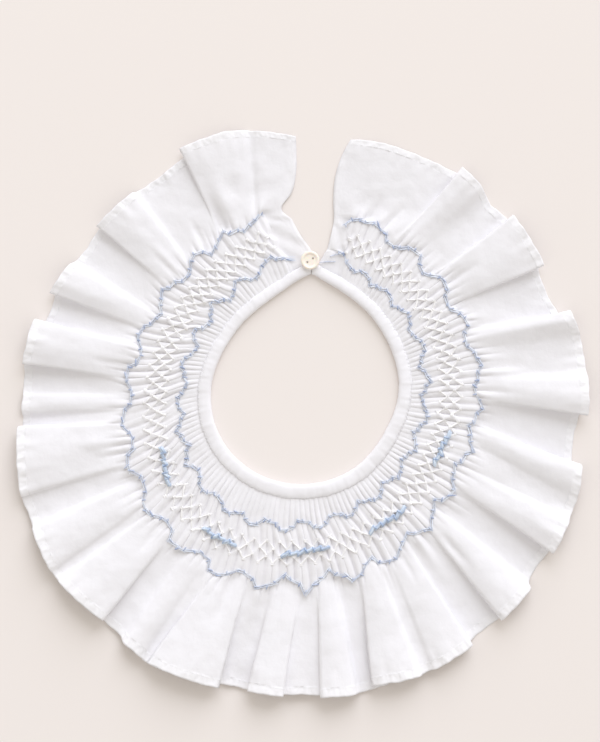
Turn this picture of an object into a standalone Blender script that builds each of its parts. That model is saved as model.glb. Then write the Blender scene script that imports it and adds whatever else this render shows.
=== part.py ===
"""Smocked ruffle collar of white cotton batiste, laid flat on a table with its back opening buttoned.

One long hemmed strip is drawn up into fine pleats round the neck, held by two zigzag rows of smocking with
a trellis between them, and left free beyond as a frill. A folded bias strip binds the neck, and a two-hole
button on the left end closes the opening. Angles run clockwise round the neck from the back opening, as the
collar is seen from above; lengths in the tables are millimetres from the middle of the neck hole.
"""

import math
from bisect import bisect_right
from collections import namedtuple

import bmesh
import bpy
from mathutils import Vector

MM = 0.001

# Middle of the neck hole in the part's own frame, mm.
NECK_X = 1.2
NECK_Y = 13.4

# Cloth, mm. The pleats stand on a plain underside; the frill is an even wall.
FRILL_WALL = 1.0
SEAM_GAP = 0.3
PLACKET_TOP = 1.6
PLEATS = 144
PLACKET_COLUMNS = 5

# Neck binding, mm: its mean width, how much wider it is at the front than at the back, and its fold. It
# thickens by the share given at each angle, where the pleats fill it.
BINDING_WIDTH = 7.0
BINDING_EXTRA = 0.8
BINDING_FOLD = 2.0
BINDING_PLY = 0.9
BINDING_ENDS = (4.7, 363.1)
BINDING_STEP = 4.5
BINDING_HEIGHTS = ((4.0, 0.0), (8.5, 0.0), (13.0, 1.0), (357.5, 1.0), (361.0, 0.0), (363.5, 0.0))

# Button, mm: it lies over the meeting ends of the binding.
BUTTON_ANGLE = 2.3
BUTTON_FROM_NECK = 67.6
BUTTON_RADIUS = 5.0
BUTTON_THICK = 2.2
BUTTON_DISH = 0.6
BUTTON_HOLE_RADIUS = 0.6
BUTTON_HOLE_SPACING = 3.5
BUTTON_HOLE_TURN = 35.0

# Neck edge and the two zigzag smocking rows, mm from the middle of the neck hole.
SECTIONS = (
    # angle, neck, inner row low, inner row high, outer row low, outer row high
    (4.0, 60.2, 66.5, 70.0, 89.0, 90.0),
    (14.0, 56.2, 67.8, 74.2, 89.3, 92.5),
    (30.0, 53.0, 64.9, 68.4, 87.2, 94.6),
    (60.0, 50.1, 62.5, 67.8, 86.4, 93.5),
    (90.0, 49.6, 61.2, 66.8, 89.0, 94.3),
    (120.0, 48.2, 62.3, 67.6, 88.8, 95.4),
    (150.0, 49.8, 65.7, 71.0, 94.9, 102.8),
    (180.0, 50.9, 69.4, 75.5, 97.8, 107.9),
    (210.0, 51.9, 73.1, 78.7, 102.3, 110.2),
    (240.0, 51.7, 69.2, 74.7, 97.5, 105.2),
    (270.0, 49.6, 62.5, 67.8, 90.4, 96.5),
    (300.0, 47.2, 59.9, 66.8, 85.1, 91.7),
    (330.0, 48.8, 61.5, 68.1, 86.4, 93.0),
    (346.0, 52.4, 66.5, 71.8, 92.0, 95.4),
    (363.0, 60.4, 70.5, 73.0, 103.0, 104.0),
)

# Where each wave of the two smocking rows swings out and back in, in degrees.
WAVES = (
    # inner row out, inner row in, outer row out, outer row in
    (16.0, 21.5, 25.0, 31.0),
    (28.0, 32.0, 39.5, 45.5),
    (41.0, 46.5, 52.0, 60.0),
    (54.5, 62.0, 67.5, 73.5),
    (70.0, 80.0, 82.0, 91.0),
    (85.5, 94.5, 95.5, 104.0),
    (103.5, 113.5, 110.0, 118.0),
    (118.5, 126.0, 126.0, 131.0),
    (132.5, 140.5, 138.5, 145.5),
    (145.5, 155.5, 153.0, 160.0),
    (160.0, 167.5, 164.5, 172.5),
    (174.0, 181.5, 179.5, 186.0),
    (188.0, 196.0, 192.5, 199.0),
    (201.5, 207.5, 206.0, 211.5),
    (212.0, 219.0, 220.0, 225.5),
    (225.5, 232.5, 232.5, 240.5),
    (237.5, 244.0, 246.0, 253.5),
    (252.0, 257.5, 259.5, 267.0),
    (264.0, 271.0, 274.5, 281.0),
    (281.5, 290.0, 288.0, 296.5),
    (297.0, 304.0, 304.5, 313.0),
    (312.5, 320.5, 320.5, 326.0),
    (328.0, 336.0, 331.5, 340.0),
    (344.0, 354.0, 346.0, 351.5),
)

# The strip's two ends and the span of its pleats, in degrees, along the strip's width: 0 is the neck edge,
# 1 the outer smocking row and 2 the hem.
ENDS = (
    # across, right end, first pleat, last pleat, left end
    (0.00, 4.7, 15.5, 356.0, 363.1),
    (0.12, 5.8, 15.5, 355.0, 363.3),
    (0.30, 8.2, 15.0, 353.5, 363.4),
    (0.50, 9.1, 14.5, 350.0, 358.7),
    (0.70, 9.7, 14.5, 348.0, 353.8),
    (1.00, 9.6, 14.5, 347.0, 352.5),
    (1.20, 8.6, 14.5, 347.0, 356.0),
    (1.48, 8.1, 14.5, 347.0, 357.6),
    (1.76, 8.9, 14.5, 347.0, 357.9),
    (2.00, 10.4, 14.5, 347.0, 357.9),
)

# Tops of the pleats across the smocked part, mm above the table.
RELIEF = (
    # across, ridge, hollow, hollow where two pleats are caught together, sideways pull of the ridge in pleats
    (0.00, 2.4, 2.0, 2.0, 0.0),
    (0.12, 2.4, 1.7, 1.7, 0.0),
    (0.30, 3.1, 1.6, 1.6, 0.0),
    (0.50, 3.4, 1.3, 2.7, 0.3),
    (0.60, 3.6, 1.2, 1.2, 0.0),
    (0.70, 3.4, 1.3, 2.7, -0.3),
    (1.00, 3.2, 1.4, 1.4, 0.0),
)

# Frill folds, a row for each crest. Each side leaves the smocking at its root angle and meets the hem at its
# hem angle. A positive tuck folds that side's foot in under the crest, a negative one lets it slope away.
Fold = namedtuple("Fold", "root_a root_b hem_a hem_b tuck_a tuck_b rise reach_a reach_b dip floor")
FOLDS = (
    Fold(30.0, 40.5, 35.4, 41.0, 0.9, -2.2, 6.0, 143.4, 142.0, 138.4, 0.0),
    Fold(48.0, 61.5, 50.4, 62.8, 0.9, 1.2, 7.0, 143.1, 142.2, 137.4, 0.0),
    Fold(69.0, 77.0, 73.6, 77.0, 0.9, -2.6, 8.0, 145.6, 147.6, 148.4, 3.0),
    Fold(85.5, 95.5, 88.5, 95.5, -2.2, 1.4, 9.0, 149.6, 150.2, 144.6, 0.0),
    Fold(101.0, 108.5, 105.4, 110.5, 1.2, -1.8, 8.0, 151.6, 154.8, 155.6, 3.5),
    Fold(116.0, 125.0, 117.5, 123.7, -1.6, 1.2, 9.0, 156.4, 157.6, 155.0, 0.0),
    Fold(132.0, 140.0, 131.8, 139.8, -0.9, 1.1, 8.0, 159.6, 161.0, 159.2, 0.0),
    Fold(146.0, 154.0, 146.9, 154.8, 0.8, -0.8, 7.0, 162.4, 163.8, 163.4, 4.0),
    Fold(157.0, 165.0, 158.6, 167.3, -0.8, 3.0, 8.0, 163.9, 161.0, 163.8, 0.0),
    Fold(170.5, 177.0, 170.8, 177.3, -0.8, 1.1, 7.0, 164.2, 163.4, 162.2, 0.0),
    Fold(180.5, 190.5, 184.0, 190.8, 0.6, 1.1, 7.5, 163.2, 162.8, 162.4, 0.0),
    Fold(196.0, 207.5, 196.2, 210.0, 1.2, 2.4, 9.0, 164.8, 167.2, 167.4, 0.0),
    Fold(210.0, 216.5, 212.0, 215.6, -0.9, -0.9, 3.6, 166.4, 165.2, 163.0, 0.0),
    Fold(221.0, 231.5, 221.0, 231.4, 1.2, -0.8, 8.0, 162.8, 165.4, 165.4, 4.0),
    Fold(233.5, 242.0, 234.8, 242.3, -0.8, -0.9, 7.0, 165.4, 162.4, 160.8, 0.0),
    Fold(246.0, 260.5, 249.6, 262.3, -0.8, 1.3, 8.0, 160.4, 153.2, 150.4, 0.0),
    Fold(263.0, 268.0, 265.0, 268.4, -0.7, -0.9, 3.4, 150.4, 149.6, 148.9, 0.0),
    Fold(271.0, 285.5, 275.0, 284.3, 1.4, 1.0, 9.0, 149.8, 147.6, 140.6, 0.0),
    Fold(289.5, 297.0, 290.4, 297.6, 0.8, -1.4, 7.0, 144.2, 140.8, 137.3, 0.0),
    Fold(305.0, 318.0, 307.8, 318.2, 1.2, -1.4, 6.0, 139.6, 138.0, 135.8, 0.0),
    Fold(330.0, 343.0, 332.2, 343.0, 1.0, -4.0, 5.0, 142.8, 142.0, 138.6, 0.8),
)
# Hem of the flat panels at the two ends: angle, height above the table and distance from the neck's middle.
FIRST_PANEL = ((10.4, 0.4, 133.9), (17.0, 1.6, 136.0), (27.0, 0.8, 137.3))
LAST_PANEL = ((352.0, 1.2, 137.0), (357.9, 0.4, 133.4))
EDGE_HEIGHT = 0.72
FOOT_HEIGHT = 0.16
FOOT_REACH = 0.4

# The trellis runs between these shares of the way from the inner smocking row to the outer one.
TRELLIS_BAND = (0.36, 0.66)

# Rows of points across the strip: those of the smocking, and those of the frill.
SMOCKED_ROWS = (0.0, 0.12, 0.3, 0.5, 0.6, 0.7, 1.0)
FRILL_ROWS = (1.2, 1.48, 1.76, 2.0)
END_PULL_COLUMNS = 12
ROOT_LIFT = 1.2
FOLD_GROWTH = 0.6
FOLD_SWEEP = 1.5
GATHER_HEIGHT = 0.7
GATHER_LENGTH = 0.45
ARC_SAMPLES = 14
CURVE_PULL = 0.42

WHITE_CLOTH = (0.90, 0.91, 0.93, 1.0)
CREAM = (0.87, 0.80, 0.66, 1.0)


def mix(a, b, share):
    """The value that lies a share of the way from a to b."""
    return a + (b - a) * share


def read(table, x, column):
    """A column of a table at x, on a smooth curve through its rows."""
    keys = [row[0] for row in table]
    first = max(0, min(len(table) - 2, bisect_right(keys, x) - 1))
    before, a = table[max(first - 1, 0)], table[first]
    b, after = table[first + 1], table[min(first + 2, len(table) - 1)]
    span = b[0] - a[0]
    share = min(1.0, max(0.0, (x - a[0]) / span))
    slope_a = (b[column] - before[column]) / (b[0] - before[0]) * span
    slope_b = (after[column] - a[column]) / (after[0] - a[0]) * span
    square, cube = share**2, share**3
    return (
        (2 * cube - 3 * square + 1) * a[column]
        + (cube - 2 * square + share) * slope_a
        + (3 * square - 2 * cube) * b[column]
        + (cube - square) * slope_b
    )


def swing(angle, out_column):
    """How far out a smocking row has swung at an angle: 1 at its crests and 0 at its dips."""
    turns = [(row[out_column + side], 1 - side) for row in WAVES for side in (0, 1)]
    keys = [turn[0] for turn in turns]
    if angle <= keys[0]:
        return 1.0
    if angle >= keys[-1]:
        return 0.0
    first = bisect_right(keys, angle) - 1
    share = (angle - keys[first]) / (keys[first + 1] - keys[first])
    return mix(turns[first][1], turns[first + 1][1], share)


def inner_row(angle):
    return mix(read(SECTIONS, angle, 2), read(SECTIONS, angle, 3), swing(angle, 0))


def outer_row(angle):
    return mix(read(SECTIONS, angle, 4), read(SECTIONS, angle, 5), swing(angle, 2))


def binding_width(angle):
    return BINDING_WIDTH - BINDING_EXTRA * math.cos(math.radians(angle))


def trellis(angle, share):
    """Distance of a trellis row, a share of the way from the inner smocking row's middle to the outer one's."""
    inner = (read(SECTIONS, angle, 2) + read(SECTIONS, angle, 3)) / 2
    outer = (read(SECTIONS, angle, 4) + read(SECTIONS, angle, 5)) / 2
    return mix(inner, outer, share)


def smocked_distance(angle, across):
    """Distance from the neck's middle of a point of the smocked part."""
    neck = read(SECTIONS, angle, 1)
    if across <= 0.0:
        return neck + BINDING_FOLD + SEAM_GAP
    if across <= 0.12:
        return neck + binding_width(angle) + SEAM_GAP
    if across <= 0.3:
        return inner_row(angle)
    if across < 1.0:
        return trellis(angle, mix(*TRELLIS_BAND, (across - 0.5) / 0.2))
    return outer_row(angle)


def place(angle, distance, height):
    """A point in metres from its angle, its distance from the neck's middle and its height in mm."""
    turn = math.radians(angle)
    x = NECK_X + distance * math.sin(turn)
    y = NECK_Y + distance * math.cos(turn)
    return Vector((x, y, height)) * MM


def hem_stations():
    """Stations along the hem as (angle, height, distance), and the root angle at those that have one."""
    stations = list(FIRST_PANEL)
    roots = {0: read(ENDS, 1.0, 1)}
    dip, floor = FIRST_PANEL[-1][2], 0.0
    for fold, after in zip(FOLDS, (*FOLDS[1:], None)):
        middle = (fold.hem_a + fold.hem_b) / 2
        roots[len(stations)] = fold.root_a
        foot = (mix(floor, fold.rise, FOOT_HEIGHT), mix(dip, fold.reach_a, FOOT_REACH))
        stations.append((fold.hem_a + fold.tuck_a, *foot))
        stations.append((fold.hem_a, mix(floor, fold.rise, EDGE_HEIGHT), fold.reach_a))
        stations.append((middle, fold.rise, (fold.reach_a + fold.reach_b) / 2))
        dip, floor = fold.dip, fold.floor
        stations.append((fold.hem_b, mix(floor, fold.rise, EDGE_HEIGHT), fold.reach_b))
        roots[len(stations)] = fold.root_b
        foot = (mix(floor, fold.rise, FOOT_HEIGHT), mix(dip, fold.reach_b, FOOT_REACH))
        stations.append((fold.hem_b - fold.tuck_b, *foot))
        if after:
            stations.append(((fold.hem_b + after.hem_a) / 2, floor, dip))
    stations.extend(LAST_PANEL)
    roots[len(stations) - 1] = read(ENDS, 1.0, 4)
    return stations, roots


def hem_path():
    """The hem as a list of (length of cloth, angle, height, distance), and (root angle, length) anchors."""
    stations, roots = hem_stations()
    points = []
    anchors = []
    length = 0.0
    last = len(stations) - 1
    for index in range(last):
        ring = [stations[max(0, min(last, index + step))] for step in (-1, 0, 1, 2)]
        for sample in range(ARC_SAMPLES):
            share = sample / ARC_SAMPLES
            point = [spline(*(station[axis] for station in ring), share) for axis in range(3)]
            point[1] = max(point[1], 0.0)
            length += step_length(points[-1][1:], point) if points else 0.0
            if sample == 0 and index in roots:
                anchors.append((roots[index], length))
            points.append((length, *point))
    length += step_length(points[-1][1:], stations[last])
    points.append((length, *stations[last]))
    anchors.append((roots[last], length))
    return points, anchors


def spline(before, a, b, after, share):
    """A smooth curve from a to b, drawn tight so that folds stay narrow."""
    slope_a, slope_b = (b - before) * CURVE_PULL, (after - a) * CURVE_PULL
    square, cube = share**2, share**3
    return (
        (2 * cube - 3 * square + 1) * a
        + (cube - 2 * square + share) * slope_a
        + (3 * square - 2 * cube) * b
        + (cube - square) * slope_b
    )


def step_length(first, second):
    """Length of cloth between two hem points given as (angle, height, distance)."""
    along = math.radians(second[0] - first[0]) * (first[2] + second[2]) / 2
    return math.hypot(along, second[1] - first[1])


def read_linear(table, x):
    """The further columns of a table at x, on straight lines between its rows."""
    keys = [row[0] for row in table]
    first = max(0, min(len(table) - 2, bisect_right(keys, x) - 1))
    a, b = table[first], table[first + 1]
    share = min(1.0, max(0.0, (x - a[0]) / (b[0] - a[0])))
    return [mix(a[column], b[column], share) for column in range(1, len(a))]


def column_angle(column, across):
    """Angle of a column of the strip in the smocked part, without the sideways pull of the trellis."""
    right, first, last, left = (read(ENDS, across, number) for number in range(1, 5))
    if column < PLACKET_COLUMNS:
        return mix(right, first, column / PLACKET_COLUMNS)
    pleated = column - PLACKET_COLUMNS
    if pleated <= 2 * PLEATS:
        return mix(first, last, pleated / (2 * PLEATS))
    return mix(last, left, (pleated - 2 * PLEATS) / PLACKET_COLUMNS)


def smocked_point(column, across):
    """Top point of the smocked part: ridges and hollows take turns, and the trellis pulls ridges in pairs."""
    angle = column_angle(column, across)
    pleated = column - PLACKET_COLUMNS
    if not 0 < pleated < 2 * PLEATS:
        return angle, smocked_distance(angle, across), PLACKET_TOP
    ridge, hollow, caught, pull = (read_linear(RELIEF, across)[number] for number in range(4))
    if pleated % 2:
        side = 1 if (pleated // 2) % 2 == 0 else -1
        pitch = column_angle(column + 1, across) - column_angle(column - 1, across)
        angle += side * pull * pitch
        return angle, smocked_distance(angle, across), ridge
    joined = ((pleated // 2) % 2 == 1) == (pull > 0)
    height = caught if joined and pull else hollow
    return angle, smocked_distance(angle, across), height


def frill_point(column, columns, across, points, anchors):
    """Point of the frill's middle surface: gathers at the smocking open out into the folds of the hem."""
    fall = across - 1.0
    root_angle = column_angle(column, 1.0)
    hem_angle, hem_height, hem_distance = read_linear(points, read_linear(anchors, root_angle)[0])
    sweep = 1 - (1 - fall) ** FOLD_SWEEP
    angle = mix(root_angle, hem_angle, sweep)
    angle += end_pull(column, across, sweep) - end_pull(columns - column, across, sweep, left=True)
    height = hem_height * fall**FOLD_GROWTH + ROOT_LIFT * (1 - fall) ** 3
    if PLACKET_COLUMNS < column < columns - PLACKET_COLUMNS:
        fade = max(0.0, 1 - fall / GATHER_LENGTH) ** 2
        height += GATHER_HEIGHT * fade * (1 if (column - PLACKET_COLUMNS) % 2 else -1)
    distance = mix(outer_row(root_angle), hem_distance, fall)
    return angle, distance, height + FRILL_WALL / 2


def end_pull(steps, across, sweep, left=False):
    """Sideways shift that lets an end of the frill follow its own curved edge."""
    if steps >= END_PULL_COLUMNS:
        return 0.0
    edge = 4 if left else 1
    straight = mix(read(ENDS, 1.0, edge), read(ENDS, 2.0, edge), sweep)
    shift = read(ENDS, across, edge) - straight
    fade = (1 - steps / END_PULL_COLUMNS) ** 2
    return -shift * fade if left else shift * fade


def frill_wall(grid):
    """Upper and lower points of the frill, half a wall each way from its middle surface."""
    upper, lower = [], []
    for row, line in enumerate(grid):
        above, below = grid[max(row - 1, 0)], grid[min(row + 1, len(grid) - 1)]
        tops, bottoms = [], []
        for column, point in enumerate(line):
            along = line[min(column + 1, len(line) - 1)] - line[max(column - 1, 0)]
            normal = along.cross(below[column] - above[column]).normalized()
            tops.append(point + normal * FRILL_WALL / 2 * MM)
            bottom = point - normal * FRILL_WALL / 2 * MM
            bottom.z = max(bottom.z, 0.0)
            bottoms.append(bottom)
        upper.append(tops)
        lower.append(bottoms)
    return upper, lower


def strip_rows():
    """Rows of top points and rows of underside points, from the neck edge to the hem."""
    columns = 2 * PLEATS + 2 * PLACKET_COLUMNS
    tops = [
        [place(*smocked_point(column, across)) for column in range(columns + 1)]
        for across in SMOCKED_ROWS
    ]
    points, anchors = hem_path()
    middle = [
        [place(*frill_point(column, columns, across, points, anchors)) for column in range(columns + 1)]
        for across in FRILL_ROWS
    ]
    # The outer smocking row stands in as the frill's first row, so that its slope there is known.
    root = [Vector((point.x, point.y, (ROOT_LIFT + FRILL_WALL / 2) * MM)) for point in tops[-1]]
    upper, lower = frill_wall([root, *middle])
    under = [[Vector((point.x, point.y, 0.0)) for point in line] for line in tops]
    return tops + upper[1:], under + lower[1:]


def add_quads(mesh, rows, flip=False):
    """Faces between neighbouring rows of vertices."""
    for line, following in zip(rows, rows[1:]):
        for column in range(len(line) - 1):
            corners = [line[column], following[column], following[column + 1], line[column + 1]]
            mesh.faces.new(corners[::-1] if flip else corners)


def face_outwards(mesh):
    """Turns every face of a closed body outwards."""
    bmesh.ops.recalc_face_normals(mesh, faces=mesh.faces)
    if mesh.calc_volume(signed=True) < 0:
        bmesh.ops.reverse_faces(mesh, faces=mesh.faces)


def add_object(name, mesh, collection, material):
    """A named object from a finished bmesh."""
    data = bpy.data.meshes.new(name)
    mesh.to_mesh(data)
    mesh.free()
    data.materials.append(material)
    data.shade_smooth()
    data.set_sharp_from_angle(angle=math.radians(40))
    obj = bpy.data.objects.new(name, data)
    collection.objects.link(obj)
    return obj


def add_strip(collection, material):
    """The hemmed strip: smocked round the neck, free beyond as the frill."""
    mesh = bmesh.new()
    top_points, under_points = strip_rows()
    smocked = len(SMOCKED_ROWS) - 1
    tops = [[mesh.verts.new(point) for point in line] for line in top_points]
    under = []
    for row, line in enumerate(under_points):
        last = len(line) - 1
        inside = 0 < row < smocked
        under.append(
            [
                mesh.verts.new(point) if not inside or number in (0, last) else None
                for number, point in enumerate(line)
            ]
        )
    add_quads(mesh, tops, flip=True)
    add_quads(mesh, under[smocked:])
    add_quads(mesh, [under[0], tops[0]], flip=True)
    add_quads(mesh, [tops[-1], under[-1]], flip=True)
    for end, flip in ((0, True), (-1, False)):
        add_quads(mesh, [[line[end] for line in tops], [line[end] for line in under]], flip=flip)
    # The smocking's underside is one flat face, because it lies on the table.
    rim = list(under[0])
    rim += [line[-1] for line in under[1:smocked]]
    rim += under[smocked][::-1]
    rim += [line[0] for line in under[smocked - 1 : 0 : -1]]
    mesh.faces.new(rim[::-1])
    face_outwards(mesh)
    return add_object("smocked_strip", mesh, collection, material)


def binding_section(angle):
    """Section of the folded neck binding: an upright fold inside the cloth's edge and a ply over it."""
    neck = read(SECTIONS, angle, 1)
    width = binding_width(angle)
    slot = mix(PLACKET_TOP, RELIEF[0][1], read_linear(BINDING_HEIGHTS, angle)[0]) + SEAM_GAP
    top = slot + BINDING_PLY
    outline = (
        (0.0, 0.5),
        (0.4, 0.0),
        (BINDING_FOLD, 0.0),
        (BINDING_FOLD, slot),
        (width, slot),
        (width, slot + 0.45 * BINDING_PLY),
        (width - 0.6, top),
        (1.5, top),
        (0.5, top - 0.4),
        (0.0, top - 1.1),
    )
    return [place(angle, neck + offset, height) for offset, height in outline]


def add_binding(collection, material):
    """The bias strip folded over the neck edge, from one end of the opening to the other."""
    mesh = bmesh.new()
    first, last = BINDING_ENDS
    count = round((last - first) / BINDING_STEP)
    sections = []
    for number in range(count + 1):
        section = binding_section(mix(first, last, number / count))
        ring = [mesh.verts.new(point) for point in section]
        sections.append(ring + ring[:1])
    add_quads(mesh, sections)
    mesh.faces.new(sections[0][:-1])
    mesh.faces.new(sections[-1][-2::-1])
    face_outwards(mesh)
    return add_object("neck_binding", mesh, collection, material)


def add_button(collection, cutters, material):
    """Round two-hole button with a raised rim, turned about its own axis."""
    seat = PLACKET_TOP + SEAM_GAP + BINDING_PLY + SEAM_GAP
    dish = BUTTON_THICK - BUTTON_DISH
    profile = (
        (0.0, dish),
        (BUTTON_RADIUS * 0.60, dish),
        (BUTTON_RADIUS * 0.74, BUTTON_THICK - 0.1),
        (BUTTON_RADIUS * 0.86, BUTTON_THICK),
        (BUTTON_RADIUS * 0.97, BUTTON_THICK * 0.80),
        (BUTTON_RADIUS, BUTTON_THICK * 0.55),
        (BUTTON_RADIUS * 0.93, BUTTON_THICK * 0.22),
        (BUTTON_RADIUS * 0.76, 0.0),
        (0.0, 0.0),
    )
    data = bpy.data.meshes.new("button")
    corners = [(radius * MM, 0.0, height * MM) for radius, height in profile]
    data.from_pydata(corners, [(number, number + 1) for number in range(len(corners) - 1)], [])
    data.materials.append(material)
    button = bpy.data.objects.new("button", data)
    button.location = place(BUTTON_ANGLE, BUTTON_FROM_NECK, seat)
    collection.objects.link(button)
    turned = button.modifiers.new("Turned", "SCREW")
    turned.steps = turned.render_steps = 32
    turned.use_merge_vertices = True
    turned.merge_threshold = 0.00001
    for number, side in enumerate((-1, 1)):
        turn = math.radians(BUTTON_HOLE_TURN)
        offset = Vector((math.cos(turn), math.sin(turn), 0.0)) * side * BUTTON_HOLE_SPACING / 2 * MM
        bpy.ops.mesh.primitive_cylinder_add(
            vertices=12,
            radius=BUTTON_HOLE_RADIUS * MM,
            depth=3 * BUTTON_THICK * MM,
            location=button.location + offset,
        )
        cutter = bpy.context.object
        cutter.name = f"button_hole_cutter_{number + 1}"
        for holder in list(cutter.users_collection):
            holder.objects.unlink(cutter)
        cutters.objects.link(cutter)
        cutter.hide_render = True
        cutter.display_type = "WIRE"
        hole = button.modifiers.new(f"Hole {number + 1}", "BOOLEAN")
        hole.operation = "DIFFERENCE"
        hole.object = cutter
    return button


def add_material(name, colour, roughness):
    """A plain material of one colour."""
    material = bpy.data.materials.new(name)
    material.use_nodes = True
    shader = material.node_tree.nodes["Principled BSDF"]
    shader.inputs["Base Color"].default_value = colour
    shader.inputs["Roughness"].default_value = roughness
    shader.inputs["Metallic"].default_value = 0.0
    return material


def main():
    for obj in list(bpy.data.objects):
        bpy.data.objects.remove(obj, do_unlink=True)
    collar = bpy.data.collections.new("smocked_collar")
    cutters = bpy.data.collections.new("cutters")
    bpy.context.scene.collection.children.link(collar)
    bpy.context.scene.collection.children.link(cutters)
    add_strip(collar, add_material("batiste", WHITE_CLOTH, 0.9))
    add_binding(collar, add_material("bias binding", WHITE_CLOTH, 0.85))
    add_button(collar, cutters, add_material("button", CREAM, 0.35))


main()
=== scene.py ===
"""Looks for a smocked ruffle collar of white cotton batiste, laid flat on a pale table with its button closed.

One thin hemmed strip is pleated round the neck and left free as a frill. Rows of pale blue thread, a white
trellis and five blue bars hold the pleats, a bias strip binds the neck, and a two-hole button closes the back.
Angles run clockwise round the neck from the back opening; table lengths are millimetres from its middle.
"""

import math
from bisect import bisect_right
from collections import namedtuple

import bmesh
import bpy
import numpy as np
from bpy.props import FloatProperty, FloatVectorProperty, IntProperty, PointerProperty
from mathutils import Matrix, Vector


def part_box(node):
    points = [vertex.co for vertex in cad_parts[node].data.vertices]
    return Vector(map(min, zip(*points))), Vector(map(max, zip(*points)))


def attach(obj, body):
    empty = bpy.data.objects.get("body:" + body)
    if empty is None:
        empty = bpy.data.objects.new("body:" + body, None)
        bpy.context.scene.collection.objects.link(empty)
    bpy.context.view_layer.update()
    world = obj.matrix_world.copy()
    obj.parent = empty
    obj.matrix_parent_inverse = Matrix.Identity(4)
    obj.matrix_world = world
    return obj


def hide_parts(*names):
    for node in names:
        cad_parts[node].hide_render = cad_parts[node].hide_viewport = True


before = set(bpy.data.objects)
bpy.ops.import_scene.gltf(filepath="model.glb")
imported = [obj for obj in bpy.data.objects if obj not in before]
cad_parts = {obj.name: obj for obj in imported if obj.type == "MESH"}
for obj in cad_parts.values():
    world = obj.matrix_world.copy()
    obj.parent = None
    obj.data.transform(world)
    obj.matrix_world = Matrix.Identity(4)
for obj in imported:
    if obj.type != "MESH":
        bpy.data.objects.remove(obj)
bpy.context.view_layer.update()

bl_info = {
    "name": "Smocked ruffle collar",
    "version": (1, 0, 0),
    "blender": (4, 5, 0),
    "location": "3D View > Sidebar > Collar",
    "description": "Cloth, smocking threads, neck binding, button and set for a smocked collar",
    "category": "Object",
}

MM = 0.001

# Middle of the neck hole, mm, and the strip's counts and the binding's folds, as in the solids.
NECK_X = 1.2
NECK_Y = 13.4
SEAM_GAP = 0.3
PLEATS = 144
PLACKET_COLUMNS = 5
COLUMNS = 2 * PLEATS + 2 * PLACKET_COLUMNS
PLACKET_HEIGHT = 0.8
PLACKET_CRUMPLE = 0.28
BINDING_WIDTH = 7.0
BINDING_EXTRA = 0.8
BINDING_FOLD = 2.0
BINDING_ENDS = (3.4, 363.1)
# Stations along the binding, where its ends sink in degrees and how far in mm, the turns of its slight waviness
# and the number of its stitches.
BINDING_STATIONS = 420
BINDING_SINK = (4.0, 364.0)
BINDING_SINK_SPAN = 9.0
BINDING_SINK_DEPTH = 0.8
BINDING_TURNS = (17, 31, 53, 89, 131)
BINDING_STITCHES = 180
# The binding's top: the height where it begins, how high it is, and its waviness at the inner edge, at the outer edge
# and in height, mm.
BINDING_SIDE = 2.0
BINDING_TOP = 1.6
BINDING_SWAY = (0.04, 0.1, 0.05)

# Neck edge and the two zigzag smocking rows, mm from the middle of the neck hole.
SECTIONS = (
    # angle, neck, inner row low, inner row high, outer row low, outer row high
    (4, 60.2, 66.5, 70, 89, 90),
    (14, 56.2, 67.8, 74.2, 89.3, 92.5),
    (30, 53, 64.9, 68.4, 87.2, 94.6),
    (60, 50.1, 62.5, 67.8, 86.4, 93.5),
    (90, 49.6, 61.2, 66.8, 89, 94.3),
    (120, 48.2, 62.3, 67.6, 88.8, 95.4),
    (150, 49.8, 65.7, 71, 94.9, 102.8),
    (180, 50.9, 69.4, 75.5, 97.8, 107.9),
    (210, 51.9, 73.1, 78.7, 102.3, 110.2),
    (240, 51.7, 69.2, 74.7, 97.5, 105.2),
    (270, 49.6, 62.5, 67.8, 90.4, 96.5),
    (300, 47.2, 59.9, 66.8, 85.1, 91.7),
    (330, 48.8, 61.5, 68.1, 86.4, 93),
    (346, 52.4, 66.5, 71.8, 92, 95.4),
    (363, 60.4, 70.5, 73, 103, 104),
)

# Where each wave of the two smocking rows swings out and back in, in degrees.
WAVES = (
    # inner row out, inner row in, outer row out, outer row in
    (16, 21.5, 25, 31),
    (28, 32, 39.5, 45.5),
    (41, 46.5, 52, 60),
    (54.5, 62, 67.5, 73.5),
    (70, 80, 82, 91),
    (85.5, 94.5, 95.5, 104),
    (103.5, 113.5, 110, 118),
    (118.5, 126, 126, 131),
    (132.5, 140.5, 138.5, 145.5),
    (145.5, 155.5, 153, 160),
    (160, 167.5, 164.5, 172.5),
    (174, 181.5, 179.5, 186),
    (188, 196, 192.5, 199),
    (201.5, 207.5, 206, 211.5),
    (212, 219, 220, 225.5),
    (225.5, 232.5, 232.5, 240.5),
    (237.5, 244, 246, 253.5),
    (252, 257.5, 259.5, 267),
    (264, 271, 274.5, 281),
    (281.5, 290, 288, 296.5),
    (297, 304, 304.5, 313),
    (312.5, 320.5, 320.5, 326),
    (328, 336, 331.5, 340),
    (344, 354, 346, 351.5),
)

# The strip's two ends and the span of its pleats, in degrees, along the strip's width: 0 is the neck edge,
# 1 the outer smocking row and 2 the hem.
ENDS = (
    # across, right end, first pleat, last pleat, left end
    (0, 4.7, 15.5, 356, 363.1),
    (0.12, 5.8, 15.5, 355, 363.3),
    (0.3, 8.2, 15, 353.5, 363.4),
    (0.5, 9.1, 14.5, 350, 358.7),
    (0.7, 9.7, 14.5, 348, 355.6),
    (1, 9.6, 14.5, 347, 352.5),
    (1.2, 8.6, 14.5, 347, 356),
    (1.48, 8.1, 14.5, 347, 357.6),
    (1.76, 8.9, 14.5, 347, 357.9),
    (2, 10.4, 14.5, 347, 357.9),
)

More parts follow.
